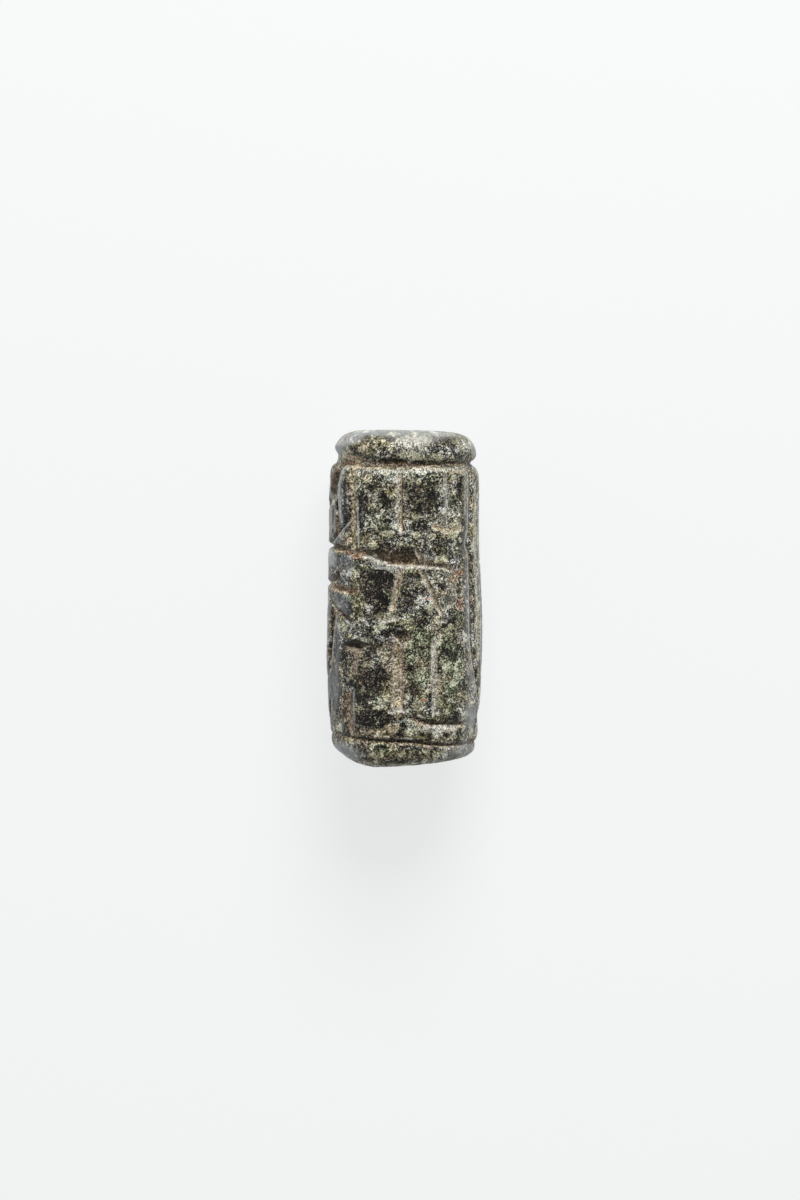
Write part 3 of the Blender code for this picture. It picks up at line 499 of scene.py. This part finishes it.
        (-52, 12.25, 1.6, 0.08, 0.9), (70, 8.0, 0.25, 1.5, 0.4), (-50, -10.0, 0.5, 1.4, 0.35),
    ],
    "tan": [
        (38, 1.5, 0.9, 0.9, 0.45), (-9, -11.35, 0.90, 0.42, 0.9), (-2, -4.0, 0.5, 0.8, 0.5),
        (35, -7.0, 0.6, 0.4, 0.6), (-30, -6.0, 0.7, 0.5, 0.4), (47, 11.6, 1.0, 0.2, 0.8),
        (-45, 12.6, 1.6, 0.35, 0.6), (66, 6.0, 0.5, 5.0, 0.35), (66, -3.0, 0.5, 3.0, 0.35),
    ],
}


def routeStations(route):           # a smooth curve through a stroke's points, in mm on the unrolled wall
    points = np.array([(degrees * perDegree, height) for degrees, height in route])
    padded = np.vstack([2 * points[0] - points[1], points, 2 * points[-1] - points[-2]])
    stations = []
    for a, b, c, d in zip(padded[:-3], padded[1:-2], padded[2:-1], padded[3:]):
        for t in np.linspace(0, 1, 5)[:-1]:
            stations.append(0.5 * (2 * b + (c - a) * t + (2 * a - 5 * b + 4 * c - d) * t ** 2
                                   + (3 * b - a - 3 * c + d) * t ** 3))
    stations.append(points[-1])
    return np.array(stations)


def turnFrom(degrees, middle):
    return (degrees - middle + 180) % 360 - 180


def strokeFields(degrees, height, route):       # distance, side (+1 is left), share gone along and whole length
    middle = np.mean([d for d, _ in route])
    across = (turnFrom(degrees, middle) + middle) * perDegree
    stations = routeStations(route)
    near = np.full(len(degrees), 1e6)
    side = np.ones(len(degrees))
    gone = np.zeros(len(degrees))
    lengths = np.hypot(*np.diff(stations, axis=0).T)
    total, passed = lengths.sum(), 0.0
    for start, end, length in zip(stations, stations[1:], lengths):
        along = (end - start) / length
        dx, dy = across - start[0], height - start[1]
        t = np.clip(dx * along[0] + dy * along[1], 0, length)
        ox, oy = dx - t * along[0], dy - t * along[1]
        distance = np.hypot(ox, oy)
        closer = distance < near
        near = np.where(closer, distance, near)
        side = np.where(closer, np.sign(along[0] * oy - along[1] * ox), side)
        gone = np.where(closer, (passed + t) / total, gone)
        passed += length
    return near, side, gone, total


def wedgeShares(degrees, height):           # 0 at the wedge's edges, 1 at its deepest; and 1 on its upper wall
    corners = [np.array((d * perDegree, h)) for d, h in wedgeHead["corners"]]
    deep = np.array((wedgeHead["deepest"][0] * perDegree, wedgeHead["deepest"][1]))
    across, up = degrees * perDegree - deep[0], height - deep[1]
    reaches = []
    for a, b in zip(corners, corners[1:] + corners[:1]):
        outward = np.array((b[1] - a[1], a[0] - b[0]))
        outward = outward * np.sign(outward @ (a - deep))
        reaches.append((across * outward[0] + up * outward[1]) / (outward @ (a - deep)))
    reach = np.max(reaches, axis=0)
    return np.clip(1 - reach, 0, 1), smoothStep(np.maximum(reaches[0], reaches[1]) - reach, -0.06, 0.0)


def unevenness(places, size, seed):         # a smooth random field over the stone, from -1 to 1
    shift = Vector((seed * 13.1, seed * 7.7, seed * 3.3))
    return np.array([noise.noise(Vector(place) / (size * mm) + shift) for place in places])


perDegree = math.radians(1) * sealForm["wallRadius"]
reliefRange = 1.0           # millimetres, the deepest cut or highest swell that the points' weights can hold
fieldNames = ("dark", "pale", "green", "olive", "umber", "deep", "brown", "tan", "clay", "sand", "rust",
              "cream", "slateAndSheen", "smooth", "polishAndSheen")
# How the cuts wander, chip, end and take their dust, painted shade and painted light, and where the marks and
# the limbs' painted sheen begin
cutWear = {
    "wander": 0.12, "chips": 0.10, "ringChips": 0.15, "bluntEnd": 0.6, "pointedEnd": 0.15,
    "bottom": (0.45, 0.75), "dustAndShade": (-0.15, 0.30), "ringDust": (0, 0.3), "wall": (5.0, 5.8),
    "outside": (3.4, 4.8), "markWander": 0.18, "markChips": 0.12, "markEdge": (-1.25, -0.55),
    "leftLimb": (62, 80), "leftLimbSheen": 0.5, "rightLimb": (76, 90), "rightLimbSheen": 0.4,
}


def carve(piece):
    w = cutWear
    places = readPlaces(piece)
    degrees, radius, height = roundCoordinates(places)
    onWall = smoothStep(radius, *w["wall"])
    ragged = unevenness(places, 0.35, 1)
    wander = unevenness(places, 1.3, 2)
    depths = np.zeros(len(places))
    fields = {name: np.zeros(len(places)) for name in fieldNames}
    for leftWall, rightWall, depth, shape, dustAndShade, route in carving.values():
        near, side, gone, total = strokeFields(degrees, height, route)
        wall = np.where(side > 0, leftWall, rightWall) * (1 + w["wander"] * wander + w["wander"] * ragged)
        ends = np.minimum(gone, 1 - gone) * total / (leftWall + rightWall)
        blunt = w["bluntEnd"] if shape >= 2 else w["pointedEnd"]
        taper = blunt + (1 - blunt) * smoothStep(ends, 0, 1.0)
        share = np.clip(1 - (near / (wall * (0.75 + 0.25 * taper))) ** shape, 0, 1)
        depths = np.maximum(depths, depth * taper * share * (1 + w["chips"] * ragged))
        bottom = smoothStep(share, *w["bottom"])
        onLeft, onRight = (side > 0) * (1 - bottom), (side <= 0) * (1 - bottom)
        laid = smoothStep(share, *w["dustAndShade"]) * (1.1 + 0.5 * wander)
        for kind, where in zip(dustAndShade.split(), (onLeft, bottom, onRight)):
            if kind != "none":
                fields[kind] = np.maximum(fields[kind], laid * where)
    for upperWall, lowerWall, depth, dustAndShade, heights, left in rings.values():
        off = height - np.interp(degrees, *zip(*heights))
        wall = np.where(off > 0, upperWall, lowerWall) * (1 + w["ringChips"] * ragged)
        share = np.clip(1 - np.abs(off) / wall, 0, 1)
        amount = np.interp(degrees, *zip(*left))
        depths = np.maximum(depths, depth * amount * share * (1 + w["ringChips"] * ragged))
        bottom = smoothStep(share, *w["bottom"])
        laid = smoothStep(share, *w["ringDust"]) * (0.3 + 0.7 * amount)
        for kind, where in zip(dustAndShade.split(), ((off > 0) * (1 - bottom), bottom, (off <= 0) * (1 - bottom))):
            fields[kind] = np.maximum(fields[kind], laid * where)
    wedge, upperWall = wedgeShares(degrees, height)
    depths = np.maximum(depths, wedgeHead["depth"] * wedge)
    inside = smoothStep(wedge, 0.0, 0.05)
    for name in fieldNames:
        fields[name] = fields[name] * (1 - inside)
    # The wedge's upper wall, which faces away from the key, gets deep as painted shade; its other walls get
    # clay dust.
    fields["deep"] = np.maximum(fields["deep"], 1.2 * inside * upperWall)
    fields["clay"] = np.maximum(fields["clay"], 1.2 * inside * (1 - upperWall))
    fields["smooth"] = np.maximum(fields["smooth"], inside)
    rises = np.zeros(len(places))
    for width, rise, shine, route in wornEdges.values():
        near, side, gone, total = strokeFields(degrees, height, route)
        fade = smoothStep(np.minimum(gone, 1 - gone) * total, 0, 0.5)
        crest = np.exp(-(near / width * 1.7) ** 2) * (0.4 + 0.6 * fade)
        rises = np.maximum(rises, rise * crest)
        # Shine lowers the edge's roughness and lays on the pale polish colour, a painted highlight along the
        # edge.
        fields["polishAndSheen"] = np.maximum(fields["polishAndSheen"], shine * crest * (1 + 0.3 * ragged))
    for angle, along, reachRound, reachAlong, rise in wornForm:
        offRound = turnFrom(degrees, angle) * perDegree / reachRound
        rises = rises + rise * np.exp(-(offRound ** 2 + ((height - along) / reachAlong) ** 2))
    outside = smoothStep(radius, *w["outside"])
    for kind, spots in marks.items():
        for angle, along, reachRound, reachAlong, strength in spots:
            offRound = turnFrom(degrees, angle) * perDegree / reachRound
            off = np.sqrt(offRound ** 2 + ((height - along) / reachAlong) ** 2)
            off = off + w["markWander"] * wander + w["markChips"] * ragged
            fields[kind] = np.maximum(fields[kind], strength * outside * smoothStep(-off, *w["markEdge"]))
    # The limbs get a painted grey sheen, standing in for the pale floor's reflection seen at a grazing angle.
    limbSheen = w["leftLimbSheen"] * smoothStep(-degrees, *w["leftLimb"])
    limbSheen = limbSheen + w["rightLimbSheen"] * smoothStep(degrees, *w["rightLimb"])
    fields["slateAndSheen"] = np.maximum(fields["slateAndSheen"], limbSheen * outside * (1 + 0.5 * wander))
    untouched = 1 - smoothStep(depths, 0.04, 0.2)
    fields["slateAndSheen"] = fields["slateAndSheen"] * untouched
    for name, values in fields.items():
        writeField(piece, name, values)
    relief = onWall * (rises - depths)
    pushSurface(piece, "cut", np.maximum(-relief, 0), -reliefRange)
    pushSurface(piece, "swell", np.maximum(relief, 0), reliefRange)


def writeField(piece, name, values):
    attribute = piece.data.attributes.new(name, "FLOAT", "POINT")
    attribute.data.foreach_set("value", np.clip(values, 0, 1.2).astype(np.float32))


def pushSurface(piece, name, amounts, furthest):    # each point's weight says how far a Displace moves it
    group = piece.vertex_groups.new(name=name)
    weights = np.clip(amounts / abs(furthest), 0, 1)
    for index in np.flatnonzero(weights).tolist():
        group.add([index], weights[index], "REPLACE")
    push = piece.modifiers.new(name, "DISPLACE")
    push.direction = "NORMAL"
    push.mid_level = 0.0
    push.strength = furthest * mm
    push.vertex_group = name
    applyModifier(piece, push)


def applyModifier(piece, modifier):
    deselectAll()
    piece.select_set(True)
    bpy.context.view_layer.objects.active = piece
    bpy.ops.object.modifier_apply(modifier=modifier.name)


# Fine unevenness in the mesh itself: (size of the bumps, height, how many finer octaves)
surfaceWear = {"undulation": (2.4, 0.06, 1), "pocks": (0.45, 0.07, 2), "grit": (0.2, 0.03, 1)}


def roughenSurface(piece):
    for name, (size, height, octaves) in surfaceWear.items():
        texture = bpy.data.textures.new(name, "CLOUDS")
        texture.noise_scale = size * mm
        texture.noise_depth = octaves
        push = piece.modifiers.new(name, "DISPLACE")
        push.texture = texture
        push.texture_coords = "LOCAL"
        push.direction = "NORMAL"
        push.mid_level = 0.5
        push.strength = height * mm
        applyModifier(piece, push)


def layOnFlat(piece):               # what would reach below the floor is pressed into the small resting flat
    places = readPlaces(piece)
    places[:, 2] = np.maximum(places[:, 2], sealLow.z)
    writePlaces(piece, places)


def makeSeal():
    piece = makeBlank()
    crowdTowardsFront(piece)
    print("Blank spun,", len(piece.data.vertices), "points")
    widenGroove(piece)
    addBackStrokes()
    carve(piece)
    print("Carved", len(carving), "strokes")
    roughenSurface(piece)
    wearEnds(piece)
    layOnFlat(piece)
    piece.data.calc_loop_triangles()
    print("Seal finished,", len(piece.data.loop_triangles), "triangles")
    return piece


# The stone: black, olive, green and cream grains in dark and pale areas, dust in the cuts with painted shade
# and painted light on their walls, polish with a painted pale sheen on the edges and limbs
stone = {
    "grainsPerMm": 10.5, "crystalsPerMm": 4.2, "cloudsPerMm": 0.95, "patchesPerMm": 1.0, "huePerMm": 0.7,
    "specklesPerMm": 6.0, "streaks": (5.0, 1.3, 5.0), "streakWeight": 1.5,
    "grainWeight": 0.88, "crystalWeight": 0.34, "cloudWeight": 1.10, "middle": 0.482, "darkWeight": 0.62,
    "cloudSteps": [(0.36, 0.0), (0.45, 0.42), (0.54, 0.5), (0.64, 0.9)], "blotches": (0.62, 0.66),
    "sparks": 0.90, "sparkCover": 0.6, "unlit": 0.8, "markGain": 2.2, "markStart": -0.8, "frayed": 0.7,
    "hueStarts": {"olive": 0.47, "green": 0.54, "umber": 0.57}, "hueGain": 9.0,
    "toneSteps": (0.14, 0.32, 0.48, 0.70, 1.0), "dustSteps": (0.12, 0.5, 0.92),
    "dustGrains": 0.85, "dustMiddle": 0.5, "dustInDark": -0.18,
    "black": (0.002, 0.002, 0.002), "shade": (0.014, 0.016, 0.015),
    "greyTones": [(0.092, 0.093, 0.078), (0.33, 0.34, 0.305), (0.94, 0.95, 0.90)],
    "oliveTones": [(0.096, 0.088, 0.034), (0.31, 0.29, 0.135), (0.89, 0.85, 0.62)],
    "greenTones": [(0.055, 0.076, 0.034), (0.20, 0.245, 0.135), (0.70, 0.76, 0.56)],
    "umberTones": [(0.110, 0.075, 0.035), (0.34, 0.255, 0.145), (0.92, 0.82, 0.62)],
    "pale": [(0.12, 0.12, 0.060), (0.54, 0.53, 0.34), (0.93, 0.91, 0.70)],
    "tan": [(0.045, 0.030, 0.014), (0.37, 0.275, 0.145), (0.97, 0.86, 0.62)],
    # deep: near-black painted shade for cut walls facing away from the key, and for hollows and pits
    "deep": [(0.005, 0.004, 0.003), (0.022, 0.016, 0.010), (0.14, 0.11, 0.07)],
    "brown": [(0.012, 0.008, 0.005), (0.070, 0.046, 0.024), (0.26, 0.19, 0.11)],
    "rust": [(0.04, 0.018, 0.010), (0.27, 0.115, 0.056), (0.80, 0.54, 0.38)],
    "cream": [(0.12, 0.112, 0.088), (0.56, 0.54, 0.455), (0.96, 0.95, 0.88)],
    "sand": [(0.10, 0.074, 0.044), (0.44, 0.35, 0.225), (0.95, 0.86, 0.68)],
    "slateAndSheen": [(0.013, 0.016, 0.019), (0.086, 0.095, 0.104), (0.44, 0.46, 0.48)],
    "clay": [(0.050, 0.037, 0.026), (0.24, 0.188, 0.138), (0.66, 0.55, 0.44)],
    "coverage": {"slateAndSheen": 0.85, "pale": 0.7, "deep": 0.9, "brown": 0.85, "tan": 0.80, "clay": 0.8, "sand": 0.9,
                 "rust": 0.7, "cream": 0.8},
    "spread": {"slateAndSheen": 0.8, "pale": 0.8, "deep": 0.4, "brown": 0.5, "tan": 0.75, "clay": 0.8, "sand": 0.45,
               "rust": 1.0, "cream": 0.8},
    "polishAndSheen": (0.53, 0.56, 0.575), "polishCover": 0.9, "paintedSheen": 0.72, "paintedSheenGrains": -0.5,
    "calm": 0.72, "calmSlate": 0.6, "grainBump": 0.05, "ior": 1.5, "shine": 0.27,
    "roughness": 0.42, "grainRoughness": 0.16, "dustRoughness": 0.25, "polishRoughness": -0.22,
}


def addNode(tree, kind, **settings):
    node = tree.nodes.new(kind)
    for name, value in settings.items():
        setattr(node, name, value)
    return node


def feed(tree, target, source):             # a socket takes a link from another socket, or a plain value
    if isinstance(source, bpy.types.NodeSocket):
        tree.links.new(source, target)
    else:
        target.default_value = source


def mathNode(tree, operation, *values, clamp=False):
    node = addNode(tree, "ShaderNodeMath", operation=operation, use_clamp=clamp)
    for socket, value in zip(node.inputs, values):
        feed(tree, socket, value)
    return node.outputs[0]


def mixColours(tree, factor, first, second):
    node = addNode(tree, "ShaderNodeMix", data_type="RGBA")
    feed(tree, node.inputs[0], factor)
    feed(tree, node.inputs[6], first)
    feed(tree, node.inputs[7], second if isinstance(second, bpy.types.NodeSocket) else (*second, 1))
    return node.outputs[2]


def rampNode(tree, value, stops):
    node = addNode(tree, "ShaderNodeValToRGB")
    feed(tree, node.inputs[0], value)
    elements = node.color_ramp.elements
    while len(elements) < len(stops):
        elements.new(1.0)
    for element, (position, colour) in zip(elements, stops):
        element.position = position
        element.color = (*colour, 1)
    return node.outputs[0]


def noiseNode(tree, coordinates, scale, detail, roughness, output="Fac"):
    node = addNode(tree, "ShaderNodeTexNoise")
    feed(tree, node.inputs["Vector"], coordinates)
    node.inputs["Scale"].default_value = scale
    node.inputs["Detail"].default_value = detail
    node.inputs["Roughness"].default_value = roughness
    return node.outputs[output]


def splitColour(tree, colour):
    node = addNode(tree, "ShaderNodeSeparateColor")
    feed(tree, node.inputs[0], colour)
    return node.outputs


def cellNode(tree, coordinates, scale):     # one random value for each grain
    node = addNode(tree, "ShaderNodeTexVoronoi")
    feed(tree, node.inputs["Vector"], coordinates)
    node.inputs["Scale"].default_value = scale
    return splitColour(tree, node.outputs["Color"])[0]


def makeStone():
    s = stone
    material = bpy.data.materials.new("darkGreenStone")
    material.use_nodes = True
    tree = material.node_tree
    shader = tree.nodes["Principled BSDF"]
    scaled = addNode(tree, "ShaderNodeVectorMath", operation="SCALE")
    feed(tree, scaled.inputs[0], addNode(tree, "ShaderNodeTexCoord").outputs["Object"])
    scaled.inputs["Scale"].default_value = 1 / mm
    inMm = scaled.outputs[0]
    field = {}
    for name in fieldNames:
        field[name] = addNode(tree, "ShaderNodeAttribute", attribute_name=name).outputs["Fac"]
    grains = cellNode(tree, inMm, s["grainsPerMm"])
    crystals = cellNode(tree, inMm, s["crystalsPerMm"])
    clouds = noiseNode(tree, inMm, s["cloudsPerMm"], 5.0, 0.65)
    patches = noiseNode(tree, inMm, s["patchesPerMm"], 4.0, 0.6)
    hues = splitColour(tree, noiseNode(tree, inMm, s["huePerMm"], 4.0, 0.62, "Color"))
    speckle = noiseNode(tree, inMm, s["specklesPerMm"], 3.0, 0.7)
    drawnOut = addNode(tree, "ShaderNodeVectorMath", operation="MULTIPLY")
    feed(tree, drawnOut.inputs[0], inMm)
    drawnOut.inputs[1].default_value = s["streaks"]
    streaks = noiseNode(tree, drawnOut.outputs[0], 1.0, 3.0, 0.7)

    def ragged(name, spread=s["frayed"]):       # a mark breaks up into grains at its edge
        edge = mathNode(tree, "MULTIPLY_ADD", mathNode(tree, "SUBTRACT", speckle, 0.5), spread * 2, field[name])
        lifted = mathNode(tree, "MULTIPLY", field[name], 4.0, clamp=True)
        sharp = mathNode(tree, "MULTIPLY_ADD", edge, s["markGain"], s["markStart"], clamp=True)
        return mathNode(tree, "MULTIPLY", sharp, lifted)

    dark = ragged("dark")
    # Grains are calmed where the stone is smooth, and where the limbs carry their painted grey sheen.
    calmed = mathNode(tree, "MULTIPLY", field["slateAndSheen"], s["calmSlate"])
    wornAndSheen = mathNode(tree, "MAXIMUM", field["smooth"], calmed, clamp=True)
    liveliness = mathNode(tree, "MULTIPLY_ADD", wornAndSheen, -s["calm"], 1.0)
    grainTone = mathNode(tree, "MULTIPLY", mathNode(tree, "SUBTRACT", grains, 0.5), liveliness)
    crystalTone = mathNode(tree, "MULTIPLY", mathNode(tree, "SUBTRACT", crystals, 0.5), s["crystalWeight"])
    tone = mathNode(tree, "ADD", crystalTone, s["middle"])
    tone = mathNode(tree, "MULTIPLY_ADD", grainTone, s["grainWeight"], tone)
    stepped = rampNode(tree, clouds, [(at, (level,) * 3) for at, level in s["cloudSteps"]])
    tone = mathNode(tree, "MULTIPLY_ADD", mathNode(tree, "SUBTRACT", stepped, 0.5), s["cloudWeight"], tone)
    sparks = mathNode(tree, "MULTIPLY", mathNode(tree, "SUBTRACT", grains, s["sparks"]), 10.0, clamp=True)
    darkness = mathNode(tree, "MULTIPLY", dark, mathNode(tree, "MULTIPLY_ADD", sparks, -s["sparkCover"], 1.0))
    tone = mathNode(tree, "MULTIPLY_ADD", darkness, -s["darkWeight"], tone)

    def stoneRamp(tones):
        return rampNode(tree, tone, list(zip(s["toneSteps"], (s["black"], s["shade"], *tones))))

    def hueShare(name, channel):            # from the marks, and scattered where the noise is high
        above = mathNode(tree, "SUBTRACT", hues[channel], s["hueStarts"][name])
        scattered = mathNode(tree, "MULTIPLY", above, s["hueGain"], clamp=True)
        return mathNode(tree, "MAXIMUM", scattered, ragged(name))

    unlit = mathNode(tree, "MULTIPLY_ADD", dark, -s["unlit"], 1.0)
    oliveShare = mathNode(tree, "MULTIPLY", hueShare("olive", 0), unlit)
    umberShare = mathNode(tree, "MULTIPLY", hueShare("umber", 2), unlit)
    colour = mixColours(tree, oliveShare, stoneRamp(s["greyTones"]), stoneRamp(s["oliveTones"]))
    colour = mixColours(tree, hueShare("green", 1), colour, stoneRamp(s["greenTones"]))
    colour = mixColours(tree, umberShare, colour, stoneRamp(s["umberTones"]))
    dustTone = mathNode(tree, "ADD", crystalTone, s["dustMiddle"])
    dustTone = mathNode(tree, "MULTIPLY_ADD", grainTone, s["dustGrains"], dustTone)
    dustTone = mathNode(tree, "MULTIPLY_ADD", dark, s["dustInDark"], dustTone)
    for name, coverage in s["coverage"].items():
        laid = ragged(name, s["spread"][name])
        if name == "pale":
            crumbled = mathNode(tree, "MULTIPLY_ADD", mathNode(tree, "SUBTRACT", speckle, 0.5), 0.3, patches)
            blotches = rampNode(tree, crumbled, list(zip(s["blotches"], ((0, 0, 0), (1, 1, 1)))))
            laid = mathNode(tree, "MAXIMUM", laid, blotches)
        value = dustTone
        if name == "slateAndSheen":
            streaked = mathNode(tree, "SUBTRACT", streaks, 0.5)
            value = mathNode(tree, "MULTIPLY_ADD", streaked, s["streakWeight"], dustTone)
        tones = rampNode(tree, value, list(zip(s["dustSteps"], s[name])))
        colour = mixColours(tree, mathNode(tree, "MULTIPLY", laid, coverage), colour, tones)
    polished = mathNode(tree, "MULTIPLY", field["polishAndSheen"], s["polishCover"], clamp=True)
    # The pale polish colour laid over the grains here is painted sheen: the key's highlight on the cap and
    # edges, the floor's reflection on the limbs.
    paintedSheen = mathNode(tree, "MULTIPLY", field["polishAndSheen"], s["paintedSheen"])
    paintedSheen = mathNode(tree, "MULTIPLY_ADD", grainTone, s["paintedSheenGrains"], paintedSheen)
    colour = mixColours(tree, mathNode(tree, "MINIMUM", paintedSheen, polished, clamp=True), colour, s["polishAndSheen"])
    feed(tree, shader.inputs["Base Color"], colour)
    smoothest = s["roughness"] - s["grainRoughness"] / 2
    roughness = mathNode(tree, "MULTIPLY_ADD", grains, s["grainRoughness"], smoothest)
    roughness = mathNode(tree, "MULTIPLY_ADD", field["tan"], s["dustRoughness"], roughness)
    roughness = mathNode(tree, "MULTIPLY_ADD", polished, s["polishRoughness"], roughness)
    feed(tree, shader.inputs["Roughness"], roughness)
    shader.inputs["IOR"].default_value = s["ior"]
    shader.inputs["Specular IOR Level"].default_value = s["shine"]
    relief = mathNode(tree, "MULTIPLY_ADD", grains, 0.5, speckle)
    bump = addNode(tree, "ShaderNodeBump")
    feed(tree, bump.inputs["Strength"], mathNode(tree, "MULTIPLY_ADD", polished, -0.7, 0.9))
    bump.inputs["Distance"].default_value = s["grainBump"] * mm
    feed(tree, bump.inputs["Height"], relief)
    feed(tree, shader.inputs["Normal"], bump.outputs[0])
    print("Stone mixed")
    return material


# The camera looks nearly straight down, from a little towards the top end. Places are pixels of an 800 x 1200
# picture.
cameraSetup = {
    "lens": 150.0, "sensor": 36.0, "pictureHeight": 1200, "picturePixelsPerMm": 11.0,
    "pictureMiddle": (400, 600), "sealMiddle": (404.0, 596.7), "leanDegrees": 3.8,
}


def makeCamera():
    c = cameraSetup
    distance = c["lens"] / c["sensor"] * c["pictureHeight"] / c["picturePixelsPerMm"] * mm
    lean = math.radians(c["leanDegrees"])
    perPixel = mm / c["picturePixelsPerMm"]
    aim = Vector(((c["pictureMiddle"][0] - c["sealMiddle"][0]) * perPixel,
                  (c["sealMiddle"][1] - c["pictureMiddle"][1]) * perPixel, axisHeight))
    back = Vector((0, math.sin(lean), math.cos(lean)))
    data = bpy.data.cameras.new("camera")
    data.lens = c["lens"]
    data.sensor_width = c["sensor"]
    data.clip_start = 0.02
    data.clip_end = 20
    camera = bpy.data.objects.new("camera", data)
    camera.location = aim + back * distance
    camera.rotation_euler = (-lean, 0, 0)
    bpy.context.scene.collection.objects.link(camera)
    bpy.context.scene.camera = camera
    print("Camera", round(distance * 1000), "mm above the seal")


# Pale floor and soft studio light: a large soft key behind the top end, a weak fill from -X, a dim ceiling
studio = {
    "floorSize": 4.0, "floorColour": (0.200, 0.202, 0.204),
    "floorGlow": 0.748, "floorGlowColour": (0.985, 0.997, 1.0),
    "ceiling": 0.04, "horizon": 0.55, "skyColour": (0.95, 0.975, 1.0),
    "keyColour": (1.0, 0.985, 0.96),
}
# Each lamp: (elevation, turn from the top end towards +X, distance in metres, size, power)
lamps = {
    "keyLight": (38, 9, 0.45, (0.28, 0.24), 2.32),
    "fillLight": (30, -80, 0.45, (0.26, 0.26), 0.10),
}


def makeFloor():
    deselectAll()
    bpy.ops.mesh.primitive_plane_add(size=studio["floorSize"], location=(0, 0, 0))
    floor = bpy.context.object
    floor.name = "floor"
    material = bpy.data.materials.new("paleFloor")
    material.use_nodes = True
    shader = material.node_tree.nodes["Principled BSDF"]
    shader.inputs["Base Color"].default_value = (*studio["floorColour"], 1)
    shader.inputs["Roughness"].default_value = 1.0
    shader.inputs["Specular IOR Level"].default_value = 0.0
    shader.inputs["Emission Color"].default_value = (*studio["floorGlowColour"], 1)
    shader.inputs["Emission Strength"].default_value = studio["floorGlow"]
    floor.data.materials.append(material)
    return floor


def lightStudio():
    s = studio
    world = bpy.data.worlds.new("softRoom")
    world.use_nodes = True
    tree = world.node_tree
    split = addNode(tree, "ShaderNodeSeparateXYZ")
    feed(tree, split.inputs[0], addNode(tree, "ShaderNodeTexCoord").outputs["Generated"])
    steepness = mathNode(tree, "ABSOLUTE", split.outputs[2])
    level = mathNode(tree, "MULTIPLY_ADD", steepness, s["ceiling"] - s["horizon"], s["horizon"])
    background = tree.nodes["Background"]
    background.inputs["Color"].default_value = (*s["skyColour"], 1)
    feed(tree, background.inputs["Strength"], level)
    bpy.context.scene.world = world
    for name, (elevation, turn, distance, size, power) in lamps.items():
        up, side = math.radians(elevation), math.radians(turn)
        towards = Vector((math.cos(up) * math.sin(side), math.cos(up) * math.cos(side), math.sin(up)))
        data = bpy.data.lights.new(name, "AREA")
        data.shape = "RECTANGLE"
        data.size, data.size_y = size
        data.energy = power
        data.color = s["keyColour"]
        light = bpy.data.objects.new(name, data)
        light.location = towards * distance + Vector((0, 0, axisHeight))
        light.rotation_euler = towards.to_track_quat("Z", "Y").to_euler()
        bpy.context.scene.collection.objects.link(light)
    bpy.context.scene.view_settings.view_transform = "Standard"
    print("Studio lit")


makeCamera()
floor = makeFloor()
lightStudio()
seal = makeSeal()
seal.data.materials.append(makeStone())
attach(seal, "root")
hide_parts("seal")
